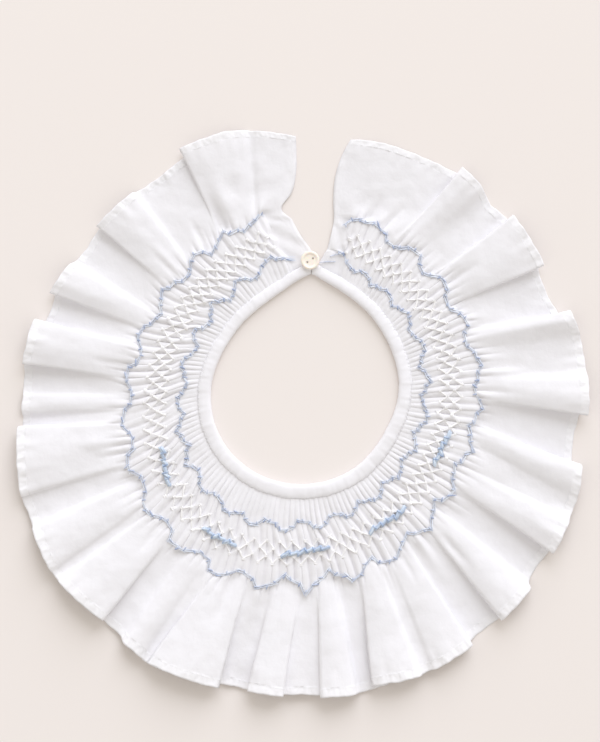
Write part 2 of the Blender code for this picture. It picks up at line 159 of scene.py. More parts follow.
# Middle of the thin cloth in the smocked part, mm above the table.
RELIEF = (
    # across, ridge, hollow, hollow where two pleats are caught together, pull of the trellis in pleats
    (0, 1.95, 1.5, 1.5, 0),
    (0.12, 2.2, 1.95, 1.95, 0),
    (0.2, 2.7, 2.05, 2.05, 0),
    (0.3, 2.6, 1.85, 2.6, 0.06),
    (0.42, 3, 1.8, 3, 0.25),
    (0.5, 3.1, 1.8, 2.9, 0.3),
    (0.567, 3.1, 1.8, 2.9, -0.3),
    (0.633, 3.1, 1.8, 2.9, 0.3),
    (0.7, 3.1, 1.8, 2.9, -0.3),
    (0.8, 3.1, 1.8, 3, -0.22),
    (1, 2.8, 1.6, 3, -0.1),
)
# The trellis: its pull in pleats, how far it lies from the inner to the outer row, the least half width of its band
# with what the front adds, in mm, and the middle and half span of the band across the strip.
TRELLIS_PULL = 0.3
TRELLIS_SHARE = 0.48
TRELLIS_BAND = (5.3, 0.8)
BAND_MIDDLE = 0.6
BAND_SPAN = 0.2
# Where the rings of the smocked part lie across the strip: fold, binding, inner row, trellis twice and outer row.
YOKE_KEYS = (0.0, 0.12, 0.3, 0.5, 0.7, 1.0)

# Frill folds, a row for each crest. Each side leaves the smocking at its root angle and meets the hem at its
# hem angle. A positive tuck folds that side's foot in under the crest, a negative one lets it slope away.
Fold = namedtuple("Fold", "root_a root_b hem_a hem_b tuck_a tuck_b rise reach_a reach_b dip floor")
FOLDS = tuple(Fold(*row) for row in (
    (30, 40.5, 35.4, 41, 0.9, -2.2, 6, 143.4, 142, 138.4, 0),
    (48, 61.5, 50.4, 62.8, 0.9, 1.2, 7, 143.1, 142.2, 137.4, 0),
    (69, 77, 73.6, 77, 0.9, -2.6, 8, 145.6, 147.6, 148.4, 3),
    (85.5, 95.5, 88.5, 95.5, -2.2, 1.4, 9, 149.6, 150.2, 144.6, 0),
    (101, 108.5, 105.4, 110.5, 1.2, -1.8, 8, 151.6, 154.8, 155.6, 3.5),
    (116, 125, 117.5, 123.7, -1.6, 1.2, 9, 156.4, 157.6, 155, 0),
    (132, 140, 131.8, 139.8, -0.9, 1.1, 8, 159.6, 161, 159.2, 0),
    (146, 154, 146.9, 154.8, 0.8, -0.8, 7, 162.4, 163.8, 163.4, 4),
    (157, 165, 158.6, 167.3, -0.8, 3, 8.8, 163.9, 161, 163.8, 1.4),
    (170.5, 177, 170.8, 177.3, -0.8, 1.1, 9.2, 164.2, 163.4, 162.2, 4.2),
    (180.5, 190.5, 184, 190.8, 0.6, 1.1, 9.2, 163.2, 162.8, 162.4, 1.4),
    (196, 207.5, 196.2, 210, 1.2, 2.4, 9.6, 164.8, 167.2, 167.4, 4.8),
    (210, 216.5, 212, 215.6, -0.9, -0.9, 7.4, 166.4, 165.2, 163, 1.6),
    (221, 231.5, 221, 231.4, 1.2, -0.8, 9.4, 162.8, 165.4, 165.4, 5),
    (233.5, 242, 234.8, 242.3, -0.8, -0.9, 8.6, 165.4, 162.4, 160.8, 2.4),
    (246, 260.5, 249.6, 262.3, -0.8, 1.3, 8, 160.4, 153.2, 150.4, 0),
    (263, 268, 265, 268.4, -0.7, -0.9, 3.4, 150.4, 149.6, 148.9, 0),
    (271, 285.5, 275, 284.3, 1.4, 1, 9, 149.8, 147.6, 140.6, 0),
    (289.5, 297, 290.4, 297.6, 0.8, -1.4, 7, 144.2, 140.8, 137.3, 0),
    (305, 318, 307.8, 318.2, 1.2, -1.4, 6, 139.6, 138, 135.8, 0),
    (330, 343, 332.2, 343, 1, -4, 5, 142.8, 142, 138.6, 0.8),
))
# Hem of the flat panels at the two ends: angle, height above the table and distance from the neck's middle.
FIRST_PANEL = ((10.4, 0.4, 133.9), (17.0, 1.6, 136.0), (27.0, 0.8, 137.3))
LAST_PANEL = ((352.0, 1.2, 137.0), (357.9, 0.4, 133.4))
# Each fold's edge and foot, as shares of its height and reach, and how the frill's curves are drawn.
EDGE_HEIGHT = 0.72
FOOT_HEIGHT = 0.16
FOOT_REACH = 0.4
END_PULL_COLUMNS = 12
ROOT_LIFT = 1.9
FOLD_GROWTH = 0.6
FOLD_SWEEP = 1.5
ARC_SAMPLES = 14
CURVE_PULL = 0.42

# Soft creases of the frill, a row each: where it leaves the smocking in degrees, how far down the frill it
# starts and ends, its half width in degrees at the smocking, and its height in mm, below nought for a trough.
Crease = namedtuple("Crease", "root start end width height")
CREASES = tuple(Crease(*row) for row in (
    (17, 0.08, 0.42, 1.8, -1),
    (24, 0, 0.22, 0.8, 0.7),
    (26, 0, 0.45, 1, -0.7),
    (28.5, 0, 0.3, 0.9, 0.7),
    (53.5, 0, 0.45, 0.9, -1.1),
    (57.5, 0, 0.65, 2.6, 1),
    (85, 0, 0.5, 1, 0.9),
    (137, 0.12, 0.6, 0.9, -1.3),
    (150, 0, 0.4, 0.8, -0.7),
    (186, 0, 0.45, 0.9, -0.8),
    (200.5, 0, 0.6, 1.1, -1.5),
    (226, 0, 0.5, 0.9, -0.8),
    (250.3, 0, 0.3, 0.7, -0.8),
    (252.4, 0, 0.3, 0.7, -0.8),
    (254, 0.18, 0.6, 1.4, 0.8),
    (277, 0, 0.45, 1, -0.8),
    (311, 0, 0.5, 1, -0.7),
    (324.5, 0, 0.48, 0.9, -1.2),
    (333, 0, 0.32, 1, -1.1),
    (335, 0.18, 0.6, 1.6, 0.9),
    (338.5, 0.3, 0.62, 2, -1.2),
    (343.6, 0, 1, 0.8, -0.9),
    (348.5, 0.3, 0.62, 3.2, 0.8),
))

CREASE_START = 0.12
CREASE_FADE = 0.6

# Chance in the cloth: how far pleats run on into the frill, how uneven ridges and hollows are, the widths in columns
# and lengths of the wrinkles, and the lengths in mm and the number of the ripples along the hem.
PLEAT_FADE = (0.06, 0.34)
PLEAT_FADE_POWER = 1.6
RIDGE_CHANCE = (-0.12, 0.1)
HOLLOW_CHANCE = (0.3, 1.0)
HOLLOW_FILL = 0.8
WRINKLE_WIDTHS = (0.8, 4.0)
WRINKLE_LENGTHS = (0.2, 0.95)
RIPPLE_LENGTHS = (5.5, 14.0)
RIPPLES = 6
# Shares of the frill's fall: where the wrinkles have set in, and where the hem's ripples begin and how soon they are
# full, upwards and then outwards. The outward ones are smaller and shifted along the hem by some mm.
WRINKLE_START = 0.06
RIPPLE_START = (0.72, 0.25)
SWAY_START = (0.85, 0.15)
SWAY_SHARE = 0.6
SWAY_SHIFT = 9.0
# The flat ends: how many pleats they take to rise, and the crumples across and along them.
END_RISE = 1.5
CRUMPLE_TURNS = (21, 1.3)

# Rows of points across the strip, finest at the smocking and at the turned hem.
YOKE_ROWS = (0, 0.06, 0.12, 0.16, 0.2, 0.25, 0.3, 0.34, 0.38, 0.42, 0.46, 0.5, 0.517, 0.533, 0.55, 0.567, 0.583,
             0.6, 0.617, 0.633, 0.65, 0.667, 0.683, 0.7, 0.74, 0.78, 0.83, 0.88, 0.94, 1.0)
FRILL_ROWS = (1.03, 1.06, 1.1, 1.14, 1.19, 1.24, 1.3, 1.36, 1.42, 1.48, 1.55, 1.62, 1.69, 1.76, 1.82, 1.87, 1.915,
              1.93, 1.945, 1.97, 1.985, 2.0)
PLEAT_STEPS = 6
PLACKET_STEPS = 8
HEM_LINE = 1.928
# The two ways in which slubs are drawn out along the threads, and the hem's puckers along the hem.
SLUB_SCALES = ((260.0, 2600.0, 1.0), (2600.0, 260.0, 1.0))
PUCKER_SCALE = (240.0, 130.0, 1.0)
END_HEM = 4.5
END_HEM_SHARE = 0.3
END_COLUMNS = 3 * PLACKET_STEPS

# Blue bars over the trellis, as (angle, mm from the middle of the neck hole).
BARS = (
    ((107, 80.4), (112, 78.2), (116, 79.8), (121, 78.6)),
    ((140, 82.4), (145, 83), (150, 82.2), (156, 83.2)),
    ((171.5, 85.6), (177, 85.2), (182, 87), (188, 88.6)),
    ((204, 91.4), (208, 90.8), (212, 91.8), (216, 90.8)),
    ((234.5, 88.4), (238, 86.4), (243, 83.6), (247.5, 81.6)),
)
# Each bar's nodes, how far in mm they swing in and out in turn, and its height in mm above the table.
BAR_NODES = 7
BAR_WAVE = 0.4
BAR_HEIGHT = 3.9
# Strands beside one another, mm from the line that they follow: half the gap, and a bar's strands with their lift.
ROW_GAP = 0.45
TRELLIS_GAP = 0.35
BAR_STRANDS = ((-0.55, 0.0), (0.55, 0.0), (0.0, 0.35))
# Rows of the trellis: how far across the strip, and the pleat that each starts from.
TRELLIS_ROWS = ((0.5, 0), (0.567, 1), (0.633, 0), (0.7, 1))
# The blue rows: how far across the strip, and the points before the first pleat and after the last, mm in the
# collar's own frame.
BLUE_ROWS = (
    ("blue_inner_row", 0.3, ((19.2, 85.0, 1.6), (21.2, 84.6, 1.6)),
     ((-22.6, 81.6, 1.4), (-17.4, 80.0, 1.4), (-11.0, 80.7, 1.4), (-5.4, 81.6, 1.4))),
    ("blue_outer_row", 1.0, ((22.9, 99.6, 2.4),), ((-25.3, 105.1, 1.6), (-20.3, 107.8, 1.6))),
)
# The thread loop beside the button and the loose tail above it, mm in the collar's own frame.
LOOP = ((9.2, 79.9, 2.2), (11.7, 80.2, 1.7), (14.2, 80.3, 1.6), (16.9, 80.3, 1.6))
TAIL = ((14.8, 83.2, 1.6), (17.2, 84.0, 1.6), (19.0, 84.3, 1.7))
# The button's two holes: mm from its middle, and how far the pair is turned in degrees.
HOLE_DISTANCE = 1.75
HOLE_TURN = 35
UPWARDS = (0.0, 0.0, 1.0)
# Chance in the blue rows: how far their strands slant in mm, and their thickness and tone; then how far the darker
# stitches across them reach in mm, their thickness, and their dark tone, which paints the shade at the nodes.
# Thickness is a share of the thread's own.
ROW_SLANT = (0.4, 1.0)
ROW_THREAD = (0.5, 0.75)
ROW_TONE = (0.6, 1.0)
CROSS_REACH = (0.5, 0.85)
CROSS_THREAD = (0.65, 0.95)
CROSS_PAINTED_SHADE = (0.0, 0.35)
CROSS_LIFT = 0.2
# Chance in the trellis: thickness of its level and slanting threads, how far level ones run on, and how slanting
# ones lean.
LEVEL_THREAD = (0.9, 1.15)
LEVEL_OVERLAP = 0.05
SLANT_THREAD = (0.6, 1.05)
SLANT_LEAN = 0.9
# Chance in the bars: thickness, tone and slant in mm of their strands, then the reach, lift, thickness, dark tone
# and lean of the ties over them; their dark tone paints the shade at the nodes.
BAR_THREAD = (1.1, 1.4)
BAR_TONE = (0.5, 1.0)
BAR_SLANT = 0.7
TIE_REACH = 1.1
TIE_LIFT = 0.5
TIE_THREAD = 0.9
TIE_PAINTED_SHADE = (0.0, 0.2)
TIE_LEAN = 0.08
# The stage, in metres: how far the table reaches, the point that the camera looks at, and the key light's place.
TABLE_REACH = 3.0
VIEW_CENTRE = (-0.00145, 0.0224)
KEY_PLACE = (0.3, 1.15, 0.64)


def mix(a, b, share):
    """The value that lies a share of the way from a to b."""
    return a + (b - a) * share


def smooth(share):
    """Eased share: level at 0 and at 1."""
    share = np.clip(share, 0.0, 1.0)
    return share * share * (3 - 2 * share)


def curve(a, b, slope_a, slope_b, share, span=1.0):
    """A smooth curve a share of the way from a to b, with its slopes there and the span between them."""
    square, cube = share**2, share**3
    return (
        (2 * cube - 3 * square + 1) * a
        + (cube - 2 * square + share) * slope_a * span
        + (3 * square - 2 * cube) * b
        + (cube - square) * slope_b * span
    )


def read(table, x, column):
    """A column of a table at x, on a smooth curve through its rows."""
    rows = np.array(table, float)
    keys, values = rows[:, 0], rows[:, column]
    last = len(keys) - 1
    number = np.arange(last + 1)
    up, down = np.minimum(number + 1, last), np.maximum(number - 1, 0)
    slopes = (values[up] - values[down]) / (keys[up] - keys[down])
    x = np.clip(x, keys[0], keys[-1])
    first = np.clip(np.searchsorted(keys, x, "right") - 1, 0, last - 1)
    span = keys[first + 1] - keys[first]
    share = (x - keys[first]) / span
    return curve(values[first], values[first + 1], slopes[first], slopes[first + 1], share, span)


def read_straight(table, x, column):
    """A column of a table at x, on straight lines between its rows."""
    rows = np.array(table, float)
    return np.interp(x, rows[:, 0], rows[:, column])


def swing(angle, out_column):
    """How far out a smocking row has swung at an angle: 1 at its crests and 0 at its dips."""
    turns = [(row[out_column + side], 1 - side) for row in WAVES for side in (0, 1)]
    return np.interp(angle, [turn[0] for turn in turns], [turn[1] for turn in turns])


def inner_row(angle):
    return mix(read(SECTIONS, angle, 2), read(SECTIONS, angle, 3), swing(angle, 0))


def outer_row(angle):
    return mix(read(SECTIONS, angle, 4), read(SECTIONS, angle, 5), swing(angle, 2))


def binding_width(angle):
    return BINDING_WIDTH - BINDING_EXTRA * np.cos(np.radians(angle))


def trellis(angle, side):
    """Distance of a trellis row, inside (-1) or outside (1) the line midway between the two smocking rows."""
    inner = (read(SECTIONS, angle, 2) + read(SECTIONS, angle, 3)) / 2
    outer = (read(SECTIONS, angle, 4) + read(SECTIONS, angle, 5)) / 2
    half_band = TRELLIS_BAND[0] + TRELLIS_BAND[1] * (1 - np.cos(np.radians(angle))) / 2
    return mix(inner, outer, TRELLIS_SHARE) + side * half_band


def yoke_distance(angle, across):
    """Distance from the neck's middle of a point of the smocked part."""
    neck = read(SECTIONS, angle, 1)
    rings = (
        neck + BINDING_FOLD + SEAM_GAP,
        neck + binding_width(angle) + SEAM_GAP,
        inner_row(angle),
        trellis(angle, -1),
        trellis(angle, 1),
        outer_row(angle),
    )
    first = min(bisect_right(YOKE_KEYS, across) - 1, len(YOKE_KEYS) - 2)
    share = (across - YOKE_KEYS[first]) / (YOKE_KEYS[first + 1] - YOKE_KEYS[first])
    return mix(rings[first], rings[first + 1], share)


def place(angle, distance, height):
    """Points in metres from angles, distances from the neck's middle and heights in mm."""
    turn = np.radians(angle)
    x = NECK_X + distance * np.sin(turn)
    y = NECK_Y + distance * np.cos(turn)
    return np.stack([x, y, np.broadcast_to(height, np.shape(x))], axis=-1) * MM


def strip_angle(column, across):
    """Angle of a column of the strip at its smocked part, without the pull of the trellis."""
    ends = [float(read(ENDS, across, number)) for number in range(1, 5)]
    return np.interp(column, (0, PLACKET_COLUMNS, COLUMNS - PLACKET_COLUMNS, COLUMNS), ends)


def pleat_number(column):
    """Pleats counted from the right end: a whole number in each hollow and a half on each ridge."""
    return np.clip((column - PLACKET_COLUMNS) / 2, 0.0, PLEATS)


def hem_stations():
    """Stations along the hem as (angle, height, distance), and the root angle at those that have one."""
    stations = list(FIRST_PANEL)
    roots = {0: float(read(ENDS, 1.0, 1))}
    dip, floor = FIRST_PANEL[-1][2], 0.0
    for fold, after in zip(FOLDS, (*FOLDS[1:], None)):
        middle = (fold.hem_a + fold.hem_b) / 2
        roots[len(stations)] = fold.root_a
        foot = (mix(floor, fold.rise, FOOT_HEIGHT), mix(dip, fold.reach_a, FOOT_REACH))
        stations.append((fold.hem_a + fold.tuck_a, *foot))
        stations.append((fold.hem_a, mix(floor, fold.rise, EDGE_HEIGHT), fold.reach_a))
        stations.append((middle, fold.rise, (fold.reach_a + fold.reach_b) / 2))
        dip, floor = fold.dip, fold.floor
        stations.append((fold.hem_b, mix(floor, fold.rise, EDGE_HEIGHT), fold.reach_b))
        roots[len(stations)] = fold.root_b
        foot = (mix(floor, fold.rise, FOOT_HEIGHT), mix(dip, fold.reach_b, FOOT_REACH))
        stations.append((fold.hem_b - fold.tuck_b, *foot))
        if after:
            stations.append(((fold.hem_b + after.hem_a) / 2, floor, dip))
    stations.extend(LAST_PANEL)
    roots[len(stations) - 1] = float(read(ENDS, 1.0, 4))
    return stations, roots


def curve_between(before, a, b, after, share):
    """A smooth curve from a to b, drawn tight so that folds stay narrow."""
    return curve(a, b, (b - before) * CURVE_PULL, (after - a) * CURVE_PULL, share)


def hem_path():
    """The hem as rows of (length of cloth, angle, height, distance), and rows of (root angle, length)."""
    stations, roots = hem_stations()
    last = len(stations) - 1
    points, numbers = [], {}
    for index in range(last):
        ring = [stations[max(0, min(last, index + step))] for step in (-1, 0, 1, 2)]
        numbers[index] = len(points)
        for sample in range(ARC_SAMPLES):
            share = sample / ARC_SAMPLES
            points.append([curve_between(*(station[axis] for station in ring), share) for axis in range(3)])
    numbers[last] = len(points)
    points.append(list(stations[last]))
    path = np.array(points)
    path[:, 1] = np.maximum(path[:, 1], 0.0)
    along = np.radians(np.diff(path[:, 0])) * (path[1:, 2] + path[:-1, 2]) / 2
    length = np.concatenate([[0.0], np.cumsum(np.hypot(along, np.diff(path[:, 1])))])
    anchors = np.array([(root, length[numbers[index]]) for index, root in roots.items()])
    return np.column_stack([length, path]), anchors


HEM, ANCHORS = hem_path()


def end_pull(steps, across, sweep, edge):
    """Sideways shift that lets an end of the frill follow its own curved edge."""
    straight = mix(read(ENDS, 1.0, edge), read(ENDS, 2.0, edge), sweep)
    shift = read(ENDS, across, edge) - straight
    return shift * np.clip(1 - steps / END_PULL_COLUMNS, 0.0, 1.0) ** 2


def crease_height(root_angle, fall):
    """Height in mm that the frill's own creases add."""
    height = np.zeros_like(root_angle)
    for crease in CREASES:
        if not crease.start - 0.1 < fall < crease.end + 0.1:
            continue
        rise = smooth((fall - crease.start) / CREASE_START) if crease.start else 1.0
        fade = smooth((crease.end - fall) / (CREASE_FADE * (crease.end - crease.start))) if crease.end < 1 else 1.0
        height += crease.height * rise * fade * np.exp(-(((root_angle - crease.root) / crease.width) ** 2))
    return height


def pucker(column, fall, seed, height):
    """Fine wrinkles that run out of the smocking into the frill, each with its own length and width, mm."""
    chance = np.random.default_rng(seed)
    total = np.zeros_like(column)
    for _ in range(PLEATS):
        middle = chance.uniform(PLACKET_COLUMNS, COLUMNS - PLACKET_COLUMNS)
        width = chance.uniform(*WRINKLE_WIDTHS)
        length = chance.uniform(*WRINKLE_LENGTHS)
        rise = chance.normal(0.0, height)
        total += rise * smooth(1 - fall / length) * np.exp(-(((column - middle) / width) ** 2))
    return total


def ripple(length, settings):
    """Uneven ripples along the free edge, mm, from how far along the hem they are."""
    chance = np.random.default_rng(settings.seed + 2)
    waves = [(chance.uniform(*RIPPLE_LENGTHS), chance.uniform(0, 2 * math.pi)) for _ in range(RIPPLES)]
    total = sum(np.sin(2 * math.pi * length / wave + start) for wave, start in waves)
    return settings.hem_ripple / MM * total / 2


def frill_points(column, across, settings):
    """Points in metres in the middle of the frill's cloth, and how far along the hem each lies, in mm."""
    fall, half_wall = across - 1.0, settings.wall / MM / 2
    root_angle = strip_angle(column, 1.0)
    length = np.interp(root_angle, ANCHORS[:, 0], ANCHORS[:, 1])
    hem_angle, hem_height, hem_distance = (np.interp(length, HEM[:, 0], HEM[:, axis]) for axis in (1, 2, 3))
    sweep = 1 - (1 - fall) ** FOLD_SWEEP
    angle = mix(root_angle, hem_angle, sweep)
    angle = angle + end_pull(column, across, sweep, 1) + end_pull(COLUMNS - column, across, sweep, 4)
    inside = smooth(column / PLACKET_COLUMNS / END_RISE) * smooth((COLUMNS - column) / PLACKET_COLUMNS / END_RISE)
    root_lift = mix(PLACKET_HEIGHT - half_wall, ROOT_LIFT, inside)
    height = hem_height * fall**FOLD_GROWTH + root_lift * (1 - fall) ** 3
    wrinkles = crease_height(root_angle, fall) + pucker(column, fall, settings.seed, settings.wrinkle_height / MM)
    height = height + wrinkles * inside * smooth(fall / WRINKLE_START)
    height = height + ripple(length, settings) * smooth((fall - RIPPLE_START[0]) / RIPPLE_START[1])
    sway = SWAY_SHARE * ripple(length + SWAY_SHIFT, settings) * smooth((fall - SWAY_START[0]) / SWAY_START[1])
    distance = mix(outer_row(root_angle), hem_distance, fall) + sway
    return place(angle, distance, np.maximum(height, 0.0) + half_wall), length


def strip_row(column, across, settings):
    """A row of the strip: its points, and the pleat heights and the pull of the trellis that are added to it."""
    pleat = pleat_number(column)
    root_angle = strip_angle(column, 1.0)
    length = np.interp(root_angle, ANCHORS[:, 0], ANCHORS[:, 1])
    inside = (column > PLACKET_COLUMNS) & (column < COLUMNS - PLACKET_COLUMNS)
    if across > 1.0:
        fall = across - 1.0
        points, length = frill_points(column, across, settings)
        chance = np.random.default_rng(settings.seed)
        reach = chance.uniform(*PLEAT_FADE, PLEATS + 1)[np.floor(pleat).astype(int)]
        edge = (read_straight(RELIEF, 1.0, 1) - read_straight(RELIEF, 1.0, 2)) / 2
        depth = edge * np.clip(1 - fall / reach, 0.0, 1.0) ** PLEAT_FADE_POWER
        depth = np.minimum(depth, points[:, 2] / MM - settings.wall / MM / 2)
        ridge, hollow = np.where(inside, depth, 0.0), np.where(inside, -depth, 0.0)
        caught, pull = hollow, np.zeros_like(column)
        along = np.zeros((len(column), 3))
    else:
        angle = strip_angle(column, across)
        points = place(angle, yoke_distance(angle, across), 0.0)
        ridge, hollow, caught, pull = (float(read_straight(RELIEF, across, number)) for number in range(1, 5))
        chance = np.random.default_rng(settings.seed + 1)
        uneven = chance.uniform(*RIDGE_CHANCE, PLEATS + 1)[np.floor(pleat).astype(int)]
        shallow = 1 - chance.uniform(*HOLLOW_CHANCE, PLEATS + 2)[np.round(pleat).astype(int)] * settings.pleat_depth
        in_band = smooth(1 - abs(across - BAND_MIDDLE) / BAND_SPAN)
        low = mix(hollow, ridge, HOLLOW_FILL * shallow * (1 - in_band))
        rising = smooth(np.minimum(pleat, PLEATS - pleat) / END_RISE)
        waves = np.sin(CRUMPLE_TURNS[0] * across + CRUMPLE_TURNS[1] * column)
        crumpled = PLACKET_CRUMPLE * waves * smooth((across - YOKE_KEYS[1]) / 0.2)
        placket = PLACKET_HEIGHT + crumpled * smooth((1 - across) / 0.15)
        ridge = mix(placket, ridge * (1 + uneven * smooth(across / 0.3)), rising)
        hollow = mix(placket, low, rising)
        caught = mix(placket, caught, rising)
        pitch = strip_angle(column + 1, across) - strip_angle(column - 1, across)
        beside = place(angle + pitch * TRELLIS_PULL, yoke_distance(angle, across), 0.0)
        along = np.where(inside[:, None], beside - points, 0.0)
        pull = np.where(inside, pull / TRELLIS_PULL, 0.0)
    return points, pleat, ridge * MM, hollow * MM, caught * MM, pull, along, length * MM


def ridge_top(number, across, settings):
    """Point on top of a pleat's ridge."""
    column = np.array([PLACKET_COLUMNS + 2 * number + 1.0])
    points, _, ridge, _, _, pull, along, _ = strip_row(column, across, settings)
    side = 1 if number % 2 == 0 else -1
    return points[0] + along[0] * pull[0] * side + np.array([0.0, 0.0, ridge[0] + settings.wall / 2])


def put(tree, socket, value):
    """Links a socket to an input, or sets the input to a value."""
    if isinstance(value, bpy.types.NodeSocket):
        tree.links.new(value, socket)
    else:
        socket.default_value = value


def add_node(tree, kind, inputs=None, **settings):
    """A node with its settings, and its inputs by name or by number."""
    node = tree.nodes.new(kind)
    for name, value in settings.items():
        setattr(node, name, value)
    for key, value in (inputs or {}).items():
        put(tree, node.inputs[key], value)
    return node


def calculate(tree, operation, *values):
    """The result of a Math node."""
    return add_node(tree, "ShaderNodeMath", dict(enumerate(values)), operation=operation).outputs[0]


def vector_of(tree, **parts):
    """A vector from its named parts, nought where a part is left out."""
    return add_node(tree, "ShaderNodeCombineXYZ", parts).outputs[0]


def vectors(tree, operation, *values):
    """The vector that a Vector Math node makes."""
    return add_node(tree, "ShaderNodeVectorMath", dict(enumerate(values)), operation=operation).outputs[0]


def noise(tree, where, scale, detail=2.0):
    """Cloudy noise from 0 to 1."""
    return add_node(tree, "ShaderNodeTexNoise", {"Vector": where, "Scale": scale, "Detail": detail}).outputs[0]


def field(tree, name, kind="FLOAT"):
    """A named attribute of the mesh in a Geometry Nodes tree."""
    return add_node(tree, "GeometryNodeInputNamedAttribute", {"Name": name}, data_type=kind).outputs["Attribute"]


def mark(tree, name):
    """A named attribute of the mesh in a material."""
    return add_node(tree, "ShaderNodeAttribute", attribute_name=name).outputs["Fac"]


def own_place(tree):
    """Where a point lies on its own object, in metres."""
    return add_node(tree, "ShaderNodeTexCoord").outputs["Object"]


def new_tree(name, kind, outputs, inputs):
    """A node tree and what it is given, from outputs as (name, kind) and inputs as (name, kind, usual value)."""
    tree = bpy.data.node_groups.new(name, kind)
    for way, sockets in (("OUTPUT", outputs), ("INPUT", inputs)):
        for title, socket_kind, *usual in sockets:
            socket = tree.interface.new_socket(name=title, in_out=way, socket_type="NodeSocket" + socket_kind)
            if usual:
                socket.default_value = usual[0]
    return tree, add_node(tree, "NodeGroupInput").outputs


def finish_tree(tree, geometry, material):
    """The end of every Geometry Nodes tree: real meshes with their material."""
    real = add_node(tree, "GeometryNodeRealizeInstances", {"Geometry": geometry})
    painted = add_node(tree, "GeometryNodeSetMaterial", {"Geometry": real.outputs[0], "Material": material})
    add_node(tree, "NodeGroupOutput", {0: painted.outputs[0]})
    return tree


def pleat_tree():
    """Raises the pleats of a flat strip from its pleat attributes, draws the ridges together in pairs, and stores the
    mask for painted shade between pleats.
    """
    inputs = (("Geometry", "Geometry"), ("Ridge sharpness", "Float", 1.0), ("Deep", "Float", 0.0013),
              ("Cloth", "Material"))
    tree, given = new_tree("pleats", "GeometryNodeTree", (("Geometry", "Geometry"),), inputs)
    turn = calculate(tree, "MULTIPLY", field(tree, "pleat"), math.pi)
    wave = calculate(tree, "SINE", turn)
    rounded = calculate(tree, "POWER", calculate(tree, "ABSOLUTE", wave), given["Ridge sharpness"])
    pull, ridge, hollow = (field(tree, name) for name in ("pull", "ridge", "hollow"))
    beat = calculate(tree, "MULTIPLY", calculate(tree, "SIGN", pull), calculate(tree, "COSINE", turn))
    joined = calculate(tree, "MULTIPLY", calculate(tree, "SUBTRACT", 1.0, beat), 0.5)
    joined = calculate(tree, "MULTIPLY", calculate(tree, "ABSOLUTE", pull), joined)
    lift = calculate(tree, "SUBTRACT", field(tree, "caught"), hollow)
    valley = calculate(tree, "MULTIPLY_ADD", lift, joined, hollow)
    height = calculate(tree, "MULTIPLY_ADD", calculate(tree, "SUBTRACT", ridge, valley), rounded, valley)
    # How deep the cloth lies under its ridge, stored as "valley": the mask for painted shade between pleats.
    depth = calculate(tree, "DIVIDE", calculate(tree, "SUBTRACT", ridge, height), given["Deep"])
    kept = {"Geometry": given["Geometry"], "Name": "valley", "Value": depth}
    marked = add_node(tree, "GeometryNodeStoreNamedAttribute", kept)
    sideways = {0: field(tree, "along", "FLOAT_VECTOR"), "Scale": calculate(tree, "MULTIPLY", pull, wave)}
    drawn = add_node(tree, "ShaderNodeVectorMath", sideways, operation="SCALE")
    offset = vectors(tree, "ADD", vector_of(tree, Z=height), drawn.outputs[0])
    moved = add_node(tree, "GeometryNodeSetPosition", {"Geometry": marked.outputs[0], "Offset": offset})
    return finish_tree(tree, moved.outputs[0], given["Cloth"])


